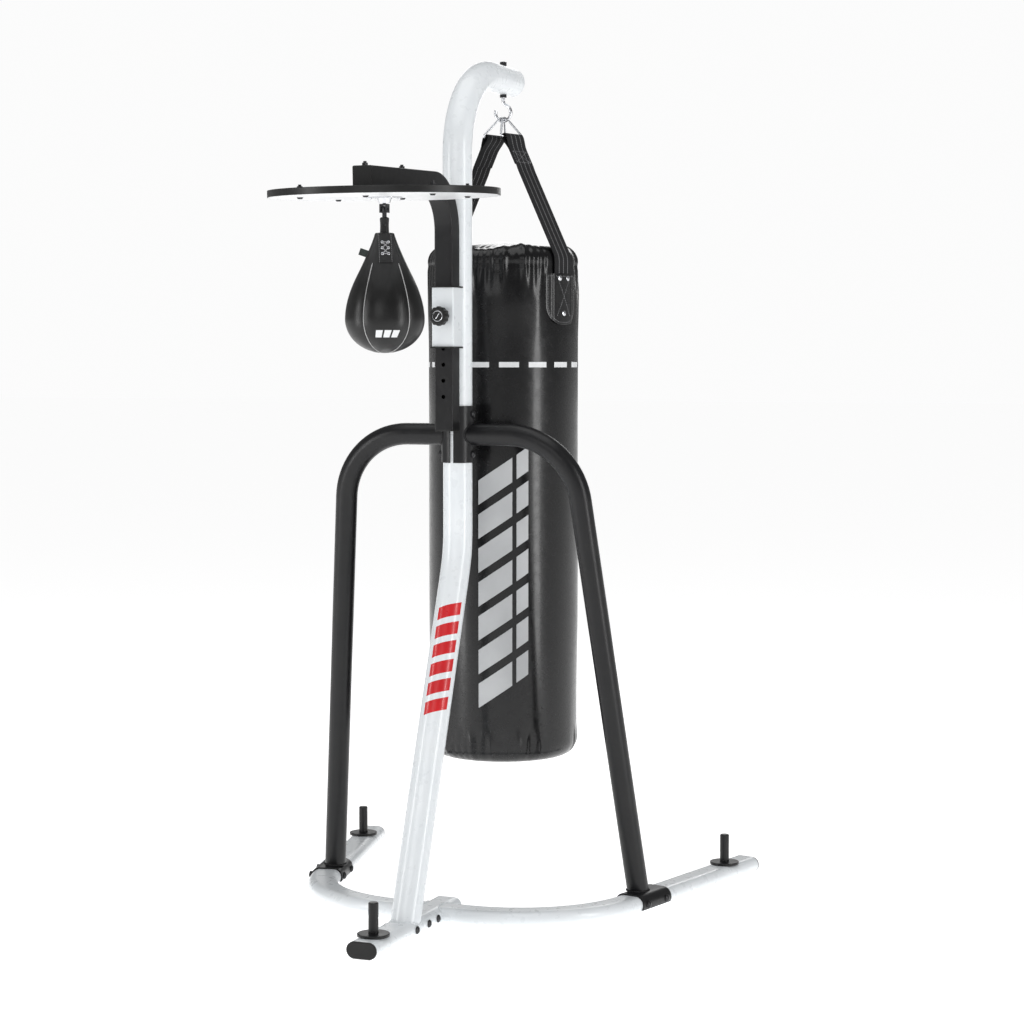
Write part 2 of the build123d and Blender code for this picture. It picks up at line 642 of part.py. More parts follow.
# Lean of the straps: the line from a ring's top that just rests on the bag's rounded shoulder.
STRAP_LEAN = degrees(
    atan2(SHOULDER_IN - RING_HALF_GAP, RING_TOP_Z - BAG_RIM_Z)
    + asin(STRAP_LIE / hypot(SHOULDER_IN - RING_HALF_GAP, RING_TOP_Z - BAG_RIM_Z))
)
RING_DROP = (RING_TOP_Z - RING_BAR_Z) / cos(radians(STRAP_LEAN))
BAR_OUT = RING_HALF_GAP + RING_DROP * sin(radians(STRAP_LEAN))


def ring_plane(sign):
    """Plane of one ring: origin at the top of its wire, X along the bar, Y down the strap."""
    down = STRAP_DIR[sign] * sin(radians(STRAP_LEAN)) - Vector(0, 0, cos(radians(STRAP_LEAN)))
    origin = Vector(0, HOOK_Y, RING_TOP_Z) + STRAP_DIR[sign] * RING_HALF_GAP
    return Plane(origin=origin, x_dir=BAR_DIR, z_dir=BAR_DIR.cross(down))


for side, sign in SIDES:
    plane = ring_plane(sign)
    half = RING_BAR / 2
    # the flanks are tangent to the rounded top, which passes through the plane's origin
    drop = RING_DROP - RING_TOP_R
    flank = atan2(half, drop) - asin(RING_TOP_R / hypot(half, drop))
    apex = RING_TOP_R * (1 / sin(flank) - 1)
    with BuildPart() as ring:
        with BuildLine(plane) as outline:
            FilletPolyline(
                (half, RING_DROP), (0, -apex), (-half, RING_DROP),
                radius=(RING_CORNER_R, RING_TOP_R, RING_CORNER_R),
                close=True,
            )
        with BuildSketch(Plane(origin=outline.line @ 0, z_dir=outline.line % 0)):
            Circle(RING_WIRE_R)
        sweep(path=outline.line)
    save(ring, f"{side}_ring")

# ================================================================ heavy bag
def bag_solid(inset):
    """Heavy bag's round body, moved in from its outside by an inset."""
    radius = BAG_R - inset
    foot = BAG_BOTTOM_Z + inset
    top = BAG_TOP_Z - inset
    with BuildPart() as body:
        with BuildSketch(Plane.XZ):
            with BuildLine():
                Line((0, foot), (radius - BAG_FOOT_R, foot))
                CenterArc((radius - BAG_FOOT_R, foot + BAG_FOOT_R), BAG_FOOT_R, -90, 90)
                Line((radius, foot + BAG_FOOT_R), (radius, BAG_RIM_Z))
                shoulder = top - BAG_RIM_Z
                EllipticalCenterArc(
                    (SHOULDER_IN, BAG_RIM_Z), radius - SHOULDER_IN, shoulder, 0, arc_size=90
                )
                Polyline((SHOULDER_IN, top), (0, top), (0, foot))
            make_face()
        revolve(axis=Axis.Z)
    return body.part.moved(Location((0, HOOK_Y, 0)))


def rivet_plane(sign, z, aside):
    """Plane at a rivet's head on the bag's side, normal out of the patch."""
    reach = BAG_R + FIT_GAP + STRAP_T + FIT_GAP + PATCH_T
    turn = degrees(asin(aside / reach))
    heading = STRAP_DIR[sign].rotate(Axis.Z, turn)
    return Plane(origin=Vector(0, HOOK_Y, z) + heading * reach, x_dir=(0, 0, 1), z_dir=heading)


RIVET_PLANES = [
    rivet_plane(sign, z, aside)
    for _, sign in SIDES
    for z, aside in (
        (RIVET_TOP_Z, -RIVET_SPREAD / 2),
        (RIVET_TOP_Z, RIVET_SPREAD / 2),
        (RIVET_LOW_Z, 0.0),
    )
]
RIVET_LENGTH = PATCH_T + STRAP_T + 2 * FIT_GAP + COVER_T


def drill_rivets():
    """Cut the holes of all rivets out of the part being built."""
    for plane in RIVET_PLANES:
        drill(plane, RIVET_SHANK_R + FIT_GAP, RIVET_LENGTH + 1)


with BuildPart() as bag_cover:
    add(bag_solid(0))
    add(bag_solid(COVER_T), mode=Mode.SUBTRACT)
    drill_rivets()
save(bag_cover, "bag_cover")

with BuildPart() as bag_filling:
    add(bag_solid(COVER_T + 2 * FIT_GAP))
save(bag_filling, "bag_filling")


def side_band(sign, low_z, high_z, inner_r, outer_r, width):
    """Curved strip on the bag's side, between two radii, in the part being built."""
    base = Plane(origin=(0, HOOK_Y, low_z), x_dir=STRAP_DIR[sign], z_dir=(0, 0, 1))
    with BuildSketch(base) as strip:
        Circle(outer_r)
        Circle(inner_r, mode=Mode.SUBTRACT)
        Rectangle(2 * outer_r, width, align=(Align.MIN, Align.CENTER), mode=Mode.INTERSECT)
    extrude(strip.sketch, amount=high_z - low_z)


STRAP_IN_R = BAG_R + FIT_GAP
for side, sign in SIDES:
    out = STRAP_DIR[sign]
    upright = Plane(origin=(0, HOOK_Y, 0), x_dir=out, z_dir=out.cross(Vector(0, 0, 1)))
    bar = (BAR_OUT, RING_BAR_Z)
    loop_r = RING_WIRE_R + STRAP_LOOP_GAP
    with BuildPart() as strap:
        side_band(sign, STRAP_END_Z, BAG_RIM_Z, STRAP_IN_R, STRAP_IN_R + STRAP_T, STRAP_W)
        with BuildLine(upright) as run:
            wrap = CenterArc((SHOULDER_IN, BAG_RIM_Z), STRAP_LIE, 0, STRAP_LEAN)
            Line(wrap @ 1, bar)
        with BuildSketch(Plane(origin=wrap @ 0, x_dir=out, z_dir=(0, 0, 1))):
            Rectangle(STRAP_T, STRAP_W)
        sweep(path=run.line)
        with BuildSketch(upright):
            with Locations(bar):
                Circle(loop_r + STRAP_T)
        extrude(amount=STRAP_W / 2, both=True)
        with BuildSketch(upright):
            with Locations(bar):
                Circle(loop_r)
        extrude(amount=STRAP_W, both=True, mode=Mode.SUBTRACT)
        drill_rivets()
    save(strap, f"{side}_strap")

PATCH_IN_R = STRAP_IN_R + STRAP_T + FIT_GAP
with BuildPart() as strap_patches:
    for _, sign in SIDES:
        side_band(sign, PATCH_LOW_Z, PATCH_HIGH_Z, PATCH_IN_R, PATCH_IN_R + PATCH_T, PATCH_W)
    drill_rivets()
save(strap_patches, "strap_patches")

with BuildPart() as rivet:
    with BuildSketch(Plane.XZ):
        with BuildLine():
            add(dome(RIVET_R, RIVET_RIM, RIVET_H))
            Polyline((RIVET_R, RIVET_RIM), (RIVET_R, 0), (RIVET_SHANK_R, 0),
                     (RIVET_SHANK_R, -RIVET_LENGTH), (0, -RIVET_LENGTH), (0, RIVET_H))
        make_face()
    revolve(axis=Axis.Z)
with BuildPart() as bag_rivets:
    with Locations(*[plane.offset(FIT_GAP) for plane in RIVET_PLANES]):
        add(rivet.part)
save(bag_rivets, "bag_rivets")

# ================================================================ collar
COLLAR_IN_W = COLLAR_W - 2 * COLLAR_WALL
PIN_PLANE = Plane(origin=(0, COLLAR_FACE_Y, PIN_Z), x_dir=(1, 0, 0), z_dir=(0, -1, 0))

with BuildPart() as collar:
    with BuildSketch(Plane(origin=(0, ARM_Y, COLLAR_LOW_Z))):
        RectangleRounded(COLLAR_W, COLLAR_W, ARM_CORNER_R)
        Rectangle(COLLAR_IN_W, COLLAR_IN_W, mode=Mode.SUBTRACT)
    extrude(amount=COLLAR_HIGH_Z - COLLAR_LOW_Z)
    with BuildSketch(PIN_PLANE):
        Circle(PIN_R + 2 * HOLE_GAP)
    extrude(amount=-COLLAR_W / 2, mode=Mode.SUBTRACT)
save(collar, "collar")

for name, z, outward in (("top", COLLAR_HIGH_Z, 1), ("bottom", COLLAR_LOW_Z, -1)):
    with BuildPart() as bush:
        with BuildSketch(Plane(origin=(0, ARM_Y, z))):
            with Locations((0, (COLLAR_W - BUSH_FLANGE_W) / 2)):
                RectangleRounded(BUSH_FLANGE_W, BUSH_FLANGE_W, ARM_CORNER_R)
        extrude(amount=outward * BUSH_FLANGE_T)
        with BuildSketch(Plane(origin=(0, ARM_Y, z))):
            Rectangle(COLLAR_IN_W - 2 * FIT_GAP, COLLAR_IN_W - 2 * FIT_GAP)
        extrude(amount=-outward * BUSH_DEPTH)
        with BuildSketch(Plane(origin=(0, ARM_Y, z))):
            RectangleRounded(ARM_W + 2 * FIT_GAP, ARM_W + 2 * FIT_GAP, ARM_CORNER_R)
        extrude(amount=COLLAR_W, both=True, mode=Mode.SUBTRACT)
    save(bush, f"collar_bush_{name}")

# ================================================================ pop pin
SHOULDER_AT = HOUSING_BASE + PIN_SHOULDER_GAP
PIN_TIP = COLLAR_W / 2 - ARM_W / 2 + ARM_WALL + PIN_REACH
STEM_END = KNOB_START + KNOB_SKIRT + KNOB_FACE / 2

with BuildPart() as pin_housing:
    with BuildSketch(PIN_PLANE.offset(FIT_GAP)):
        Circle(HOUSING_R)
        Circle(PIN_R + RUN_GAP, mode=Mode.SUBTRACT)
    extrude(amount=HOUSING_BASE - FIT_GAP)
    with BuildSketch(PIN_PLANE.offset(HOUSING_BASE)):
        Circle(HOUSING_R)
        Circle(HOUSING_BORE_R, mode=Mode.SUBTRACT)
    extrude(amount=HOUSING_CHAMBER)
    with BuildSketch(PIN_PLANE.offset(HOUSING_BASE + HOUSING_CHAMBER)):
        Circle(HOUSING_R)
        Circle(PIN_STEM_R + RUN_GAP, mode=Mode.SUBTRACT)
    extrude(amount=HOUSING_END)
save(pin_housing, "pin_housing")

with BuildPart() as pin_plunger:
    with BuildSketch(PIN_PLANE.offset(SHOULDER_AT)):
        Circle(PIN_R)
    extrude(amount=-PIN_TIP - SHOULDER_AT)
    chamfer(pin_plunger.edges().sort_by(Axis.Y)[-1], PIN_POINT)
    with BuildSketch(PIN_PLANE.offset(SHOULDER_AT)):
        Circle(PIN_SHOULDER_R)
    extrude(amount=PIN_SHOULDER_T)
    with BuildSketch(PIN_PLANE.offset(SHOULDER_AT)):
        Circle(PIN_STEM_R)
    extrude(amount=STEM_END - SHOULDER_AT)
save(pin_plunger, "pin_plunger")

SPRING_START = SHOULDER_AT + PIN_SHOULDER_T + FIT_GAP + SPRING_WIRE_R
SPRING_L = HOUSING_BASE + HOUSING_CHAMBER - FIT_GAP - SPRING_WIRE_R - SPRING_START
with BuildPart() as pin_spring:
    with BuildLine() as coil:
        Helix(
            SPRING_L / SPRING_TURNS,
            SPRING_L,
            SPRING_R,
            center=PIN_PLANE.offset(SPRING_START).origin,
            direction=PIN_PLANE.z_dir,
        )
    with BuildSketch(Plane(origin=coil.line @ 0, z_dir=coil.line % 0)):
        Circle(SPRING_WIRE_R)
    sweep(path=coil.line, is_frenet=True)
save(pin_spring, "pin_spring")

with BuildPart() as pin_knob:
    with BuildSketch(PIN_PLANE.offset(KNOB_START)):
        Circle(KNOB_R)
    extrude(amount=KNOB_SKIRT + KNOB_FACE)
    fillet(pin_knob.edges().filter_by(GeomType.CIRCLE).sort_by(Axis.Y)[0], KNOB_EDGE_R)
    with BuildSketch(PIN_PLANE.offset(KNOB_START)):
        Circle(HOUSING_R + KNOB_CLEAR)
    extrude(amount=KNOB_SKIRT, mode=Mode.SUBTRACT)
    with BuildSketch(PIN_PLANE.offset(KNOB_START)):
        Circle(PIN_STEM_R + RUN_GAP)
    extrude(amount=STEM_END + FIT_GAP - KNOB_START, mode=Mode.SUBTRACT)
save(pin_knob, "pin_knob")

# ================================================================ platform arm
# The board lies under the arm's forward run: X across, Y to the rear, Z square to the board.
RUN_AXIS_Z = ARM_RUN_Z + (PLATFORM_Y - ARM_Y) * tan(radians(ARM_DROOP))
RUN_UP = Vector(0, -sin(radians(ARM_DROOP)), cos(radians(ARM_DROOP)))
RUN_UNDER = Vector(0, PLATFORM_Y, RUN_AXIS_Z) - RUN_UP * (ARM_W / 2 + FIT_GAP)
BOARD_TOP = Plane(origin=RUN_UNDER, x_dir=(1, 0, 0), z_dir=RUN_UP).offset(-BRACE_T)
ARM_BOLT_SPOTS = [(0, -BRACE_HALF_SPACING), (0, BRACE_HALF_SPACING)]
BOLT_SPOTS = ARM_BOLT_SPOTS + [
    (x, y) for _, y in ARM_BOLT_SPOTS for x in (-PLATE_BOLT_X, PLATE_BOLT_X)
]

with BuildLine() as arm_path:
    FilletPolyline(
        (0, ARM_Y, ARM_LOW_Z + CAP_T),
        (0, ARM_Y, ARM_RUN_Z),
        (0, ARM_FRONT_Y, ARM_RUN_Z + (ARM_FRONT_Y - ARM_Y) * tan(radians(ARM_DROOP))),
        radius=ARM_BEND_R,
    )
with BuildPart() as platform_arm:
    with BuildSketch(Plane(origin=arm_path.line @ 0, x_dir=(1, 0, 0), z_dir=(0, 0, 1))):
        RectangleRounded(ARM_W, ARM_W, ARM_CORNER_R)
        RectangleRounded(ARM_IN_W, ARM_IN_W, ARM_CORNER_R / 2, mode=Mode.SUBTRACT)
    sweep(path=arm_path.line)
    for step in range(-HOLES_BELOW, HOLES_ABOVE + 1):
        with BuildSketch(PIN_PLANE.offset(-COLLAR_WALL)):
            with Locations((0, step * HOLE_PITCH)):
                Circle(PIN_R + HOLE_GAP)
        extrude(amount=-ARM_W / 2, mode=Mode.SUBTRACT)
    with BuildSketch(BOARD_TOP):
        with Locations(*ARM_BOLT_SPOTS):
            Circle(PLATE_BOLT_R + HOLE_GAP)
    extrude(amount=2 * ARM_W, mode=Mode.SUBTRACT)
save(platform_arm, "platform_arm")


def arm_cap(plane):
    """End cap of the square arm: face plate outside and plug inside."""
    with BuildPart() as cap:
        with BuildSketch(plane):
            RectangleRounded(ARM_W, ARM_W, ARM_CORNER_R)
        extrude(amount=CAP_T)
        fillet(cap.faces().sort_by(Axis(plane.origin, plane.z_dir))[-1].edges(), CAP_T / 3)
        with BuildSketch(plane):
            Rectangle(ARM_IN_W - 4 * FIT_GAP, ARM_IN_W - 4 * FIT_GAP)
        extrude(amount=-ARM_CAP_PLUG)
    return cap


arm_bottom_cap = arm_cap(Plane(origin=arm_path.line @ 0, x_dir=(1, 0, 0), z_dir=(0, 0, -1)))
save(arm_bottom_cap, "arm_bottom_cap")
arm_front_cap = arm_cap(Plane(origin=arm_path.line @ 1, x_dir=(1, 0, 0), z_dir=arm_path.line % 1))
save(arm_front_cap, "arm_front_cap")

# ================================================================ platform
BOARD_LOW = BOARD_TOP.offset(-BOARD_T)
UNDERSIDE = BOARD_LOW.offset(-FACING_T)
SCREW_SPOTS = [
    (x, y) for x in (-SWIVEL_SCREW_HALF, SWIVEL_SCREW_HALF) for y in (-SWIVEL_SCREW_HALF, SWIVEL_SCREW_HALF)
]


def platform_holes(plane, spots, radius):
    """Cut a group of holes square to the board through the part being built."""
    with BuildSketch(plane) as holes:
        with Locations(*spots):
            Circle(radius)
    extrude(holes.sketch, amount=3 * BOARD_T, both=True, mode=Mode.SUBTRACT)


for name, sign in (("front", -1), ("rear", 1)):
    with BuildPart() as brace:
        with BuildSketch(BOARD_TOP):
            with Locations((0, sign * BRACE_HALF_SPACING)):
                RectangleRounded(BRACE_L, BRACE_W, BRACE_W / 4)
        extrude(amount=BRACE_T)
        platform_holes(BOARD_TOP, BOLT_SPOTS, PLATE_BOLT_R + HOLE_GAP)
    save(brace, f"{name}_cross_brace")

with BuildPart() as platform_board:
    with BuildSketch(BOARD_LOW):
        Circle(PLATFORM_R - BAND_T)
    extrude(amount=BOARD_T)
    platform_holes(BOARD_LOW, BOLT_SPOTS, PLATE_BOLT_R + HOLE_GAP)
    platform_holes(BOARD_LOW, SCREW_SPOTS, SWIVEL_SCREW_R + RUN_GAP)
save(platform_board, "platform_board")

with BuildPart() as platform_facing:
    with BuildSketch(UNDERSIDE):
        Circle(PLATFORM_R - BAND_T)
    extrude(amount=FACING_T)
    platform_holes(BOARD_LOW, BOLT_SPOTS, PLATE_BOLT_R + HOLE_GAP)
    platform_holes(BOARD_LOW, SCREW_SPOTS, SWIVEL_SCREW_R + RUN_GAP)
save(platform_facing, "platform_facing")

with BuildPart() as platform_edge_band:
    with BuildSketch(UNDERSIDE):
        Circle(PLATFORM_R)
        Circle(PLATFORM_R - BAND_T, mode=Mode.SUBTRACT)
    extrude(amount=BOARD_T + FACING_T)
    fillet(platform_edge_band.edges().filter_by(GeomType.CIRCLE).group_by(SortBy.LENGTH)[-1], BAND_T / 2)
save(platform_edge_band, "platform_edge_band")

# The middle bolt of each row goes through the arm, the outer ones stop at their brace.
def bolt_top(x):
    """Height of the nut's seat above the board's top, for a bolt at a given X."""
    return BRACE_T + (FIT_GAP + ARM_W if x == 0 else 0)


with BuildPart() as platform_bolts:
    for x, y in BOLT_SPOTS:
        with BuildSketch(UNDERSIDE):
            with Locations((x, y)):
                Circle(PLATE_BOLT_R)
        extrude(amount=FACING_T + BOARD_T + bolt_top(x) + PLATE_NUT_H + PLATE_BOLT_TAIL)
        with BuildSketch(UNDERSIDE):
            with Locations((x, y)):
                Circle(2 * PLATE_BOLT_R)
        extrude(amount=-PLATE_BOLT_R, taper=PLATE_HEAD_TAPER)
save(platform_bolts, "platform_bolts")

with BuildPart() as platform_nuts:
    for x, y in BOLT_SPOTS:
        with BuildSketch(BOARD_TOP.offset(bolt_top(x))):
            with Locations((x, y)):
                RegularPolygon(PLATE_NUT_AF / 2, 6, major_radius=False)
                Circle(PLATE_BOLT_R + RUN_GAP, mode=Mode.SUBTRACT)
        extrude(amount=PLATE_NUT_H)
save(platform_nuts, "platform_nuts")

# ================================================================ swivel
DOME_LOW = SWIVEL_PLATE_T + SWIVEL_DOME_H
HEAD_POCKET = SWIVEL_HEAD_T + 2 * SWIVEL_HEAD_PLAY
POCKET_UP = DOME_LOW - SWIVEL_ROOF - HEAD_POCKET
STEM_AXIS = UNDERSIDE.origin - RUN_UP * DOME_LOW

with BuildPart() as swivel_plate:
    with BuildSketch(UNDERSIDE):
        RectangleRounded(SWIVEL_PLATE_W, SWIVEL_PLATE_W, SWIVEL_CORNER_R)
    extrude(amount=-SWIVEL_PLATE_T)
    with BuildSketch(UNDERSIDE.offset(-SWIVEL_PLATE_T)):
        Circle(SWIVEL_DOME_R)
    extrude(amount=-SWIVEL_DOME_H, taper=SWIVEL_DOME_TAPER)
    with BuildSketch(Plane(origin=STEM_AXIS, z_dir=(0, 0, 1))):
        Circle(SWIVEL_STEM_R + RUN_GAP)
    extrude(amount=2 * DOME_LOW, both=True, mode=Mode.SUBTRACT)
    with BuildSketch(Plane(origin=STEM_AXIS, z_dir=(0, 0, 1)).offset(POCKET_UP)):
        Circle(SWIVEL_HEAD_R + SWIVEL_HEAD_SIDE)
    extrude(amount=HEAD_POCKET, mode=Mode.SUBTRACT)
    platform_holes(BOARD_LOW, SCREW_SPOTS, SWIVEL_SCREW_R + RUN_GAP)
save(swivel_plate, "swivel_plate")

with BuildPart() as swivel_screws:
    for x, y in SCREW_SPOTS:
        with BuildSketch(UNDERSIDE.offset(-SWIVEL_PLATE_T)):
            with Locations((x, y)):
                Circle(SWIVEL_SCREW_R)
        extrude(amount=SWIVEL_PLATE_T + FACING_T + BOARD_T - SCREW_SHORT)
        with BuildSketch(UNDERSIDE.offset(-SWIVEL_PLATE_T)):
            with Locations((x, y)):
                Circle(2 * SWIVEL_SCREW_R)
        extrude(amount=-SWIVEL_SCREW_R, taper=SCREW_TAPER)
save(swivel_screws, "swivel_screws")

PIVOT = Vector(0, STEM_AXIS.Y, UNDERSIDE.origin.Z - FORK_PIN_DROP)
FORK_TOP_Z = STEM_AXIS.Z - FORK_BELOW
FORK_FOOT_Z = PIVOT.Z - FORK_W / 2
with BuildPart() as swivel_fork:
    with BuildSketch(Plane(origin=(PIVOT.X, PIVOT.Y, FORK_TOP_Z))):
        Circle(SWIVEL_STEM_R)
    extrude(amount=FORK_BELOW + POCKET_UP + SWIVEL_HEAD_PLAY + SWIVEL_HEAD_T / 2)
    head_z = STEM_AXIS.Z + POCKET_UP + SWIVEL_HEAD_PLAY
    with BuildSketch(Plane(origin=(PIVOT.X, PIVOT.Y, head_z))):
        Circle(SWIVEL_HEAD_R)
    extrude(amount=SWIVEL_HEAD_T)
    with BuildSketch(Plane(origin=(PIVOT.X, PIVOT.Y, FORK_TOP_Z))):
        Rectangle(FORK_GAP + 2 * FORK_CHEEK, FORK_W)
    extrude(amount=-FORK_BRIDGE)
    with BuildSketch(Plane(origin=(PIVOT.X, PIVOT.Y, FORK_TOP_Z - FORK_BRIDGE))):
        with Locations((-(FORK_GAP + FORK_CHEEK) / 2, 0), ((FORK_GAP + FORK_CHEEK) / 2, 0)):
            Rectangle(FORK_CHEEK, FORK_W)
    extrude(amount=FORK_FOOT_Z - FORK_TOP_Z + FORK_BRIDGE)
    with BuildSketch(Plane(origin=PIVOT, x_dir=(0, 1, 0), z_dir=(1, 0, 0))):
        Circle(FORK_PIN_R)
    extrude(amount=FORK_GAP / 2 + FORK_CHEEK + FORK_PIN_PROUD, both=True)
save(swivel_fork, "swivel_fork")

# ================================================================ speed bag
LOOP_TOP_Z = PIVOT.Z - 2 * LINK_END_R - LINK_TAIL
SPEED_TOP_Z = PIVOT.Z - SPEED_DROP
SPEED_BOTTOM_Z = SPEED_TOP_Z - SPEED_LENGTH
SPEED_WIDEST_Z = SPEED_BOTTOM_Z + SPEED_WIDEST_UP
with BuildPart() as speed_bag_link:
    with BuildSketch(Plane(origin=PIVOT, x_dir=(0, 1, 0), z_dir=(1, 0, 0))):
        Circle(LINK_END_R)
        with Locations((0, -(PIVOT.Z - LOOP_TOP_Z))):
            Rectangle(
                LINK_END_R * LINK_WAIST, PIVOT.Z - LOOP_TOP_Z, align=(Align.CENTER, Align.MIN)
            )
        Circle(FORK_PIN_R + RUN_GAP, mode=Mode.SUBTRACT)
    extrude(amount=LINK_T / 2, both=True)
save(speed_bag_link, "speed_bag_link")


def speed_solid(inset):
    """Speed bag's drop-shaped body, moved in from its outside by an inset."""
    widest = (SPEED_R - inset, SPEED_WIDEST_Z)
    neck = (SPEED_NECK_R - inset, SPEED_TOP_Z - inset)
    low = SPEED_BOTTOM_Z + inset
    with BuildPart() as body:
        with BuildSketch(Plane.XZ):
            with BuildLine():
                EllipticalCenterArc(
                    (0, SPEED_WIDEST_Z), SPEED_R - inset, SPEED_WIDEST_Z - low, -90, arc_size=90
                )
                Spline(widest, neck, tangents=((0, 1), (-0.3, 1)))
                Polyline(neck, (0, SPEED_TOP_Z - inset), (0, low))
            make_face()
        revolve(axis=Axis.Z)
    return body.part.moved(Location((0, PIVOT.Y, 0)))


with BuildPart() as speed_bag_shell:
    add(speed_solid(0))
    add(speed_solid(SPEED_SKIN), mode=Mode.SUBTRACT)
save(speed_bag_shell, "speed_bag_shell")

with BuildPart() as speed_bag_bladder:
    add(speed_solid(SPEED_SKIN + FIT_GAP))
    add(speed_solid(SPEED_SKIN + FIT_GAP + BLADDER_T), mode=Mode.SUBTRACT)
save(speed_bag_bladder, "speed_bag_bladder")

with BuildPart() as speed_bag_loop:
    with BuildSketch(Plane(origin=(0, PIVOT.Y, SPEED_TOP_Z + FIT_GAP))):
        RectangleRounded(LOOP_W, LOOP_T, LOOP_T / 3)
    extrude(amount=LOOP_TOP_Z - FIT_GAP - SPEED_TOP_Z - FIT_GAP)
save(speed_bag_loop, "speed_bag_loop")
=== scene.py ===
import json
import logging
import math
from dataclasses import dataclass
from enum import Enum
from typing import Callable, Optional, Sequence

import bpy
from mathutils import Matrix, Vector, noise


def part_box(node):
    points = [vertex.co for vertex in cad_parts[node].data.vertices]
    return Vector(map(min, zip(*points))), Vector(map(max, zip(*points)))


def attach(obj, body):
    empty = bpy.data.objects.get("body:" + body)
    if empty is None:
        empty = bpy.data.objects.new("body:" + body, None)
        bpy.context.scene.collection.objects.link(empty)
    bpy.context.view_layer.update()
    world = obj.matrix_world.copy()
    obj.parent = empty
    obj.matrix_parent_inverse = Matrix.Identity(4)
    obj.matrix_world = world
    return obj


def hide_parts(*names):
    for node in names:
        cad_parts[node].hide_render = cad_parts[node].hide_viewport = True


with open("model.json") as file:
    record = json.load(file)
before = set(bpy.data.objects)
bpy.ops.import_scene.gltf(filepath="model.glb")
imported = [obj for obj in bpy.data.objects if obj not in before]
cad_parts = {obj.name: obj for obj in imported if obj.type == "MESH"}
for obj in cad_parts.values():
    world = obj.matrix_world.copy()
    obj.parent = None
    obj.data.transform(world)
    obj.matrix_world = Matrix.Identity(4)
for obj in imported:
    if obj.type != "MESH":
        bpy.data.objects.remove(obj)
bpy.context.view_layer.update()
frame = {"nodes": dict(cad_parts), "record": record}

LOG = logging.getLogger("punching_bag_stand")
MM = 0.001
MIX_COLOUR_INPUTS = (6, 7)  # sockets A and B of a mix node set to colours
MIX_COLOUR_OUTPUT = 2
SHARP_EDGE = math.radians(40.0)

Rows = list[list[Vector]]
Triple = tuple[float, float, float]
Placer = Callable[[float, float, float], Vector]


# ---------------------------------------------------------------- finishes
class Grain(Enum):
    """Fine relief of a surface."""

    PEEL = "orange peel of sprayed powder paint"
    MOULDED = "fine matt texture of moulded plastic"
    BRUSHED = "long drawing lines of tube and bar"
    LEATHER = "pebbled grain of leather"
    VINYL = "smooth coated cloth with soft creases"
    FELT = "short tangled fibres"
    LAMINATE = "pressed board faced with foil"


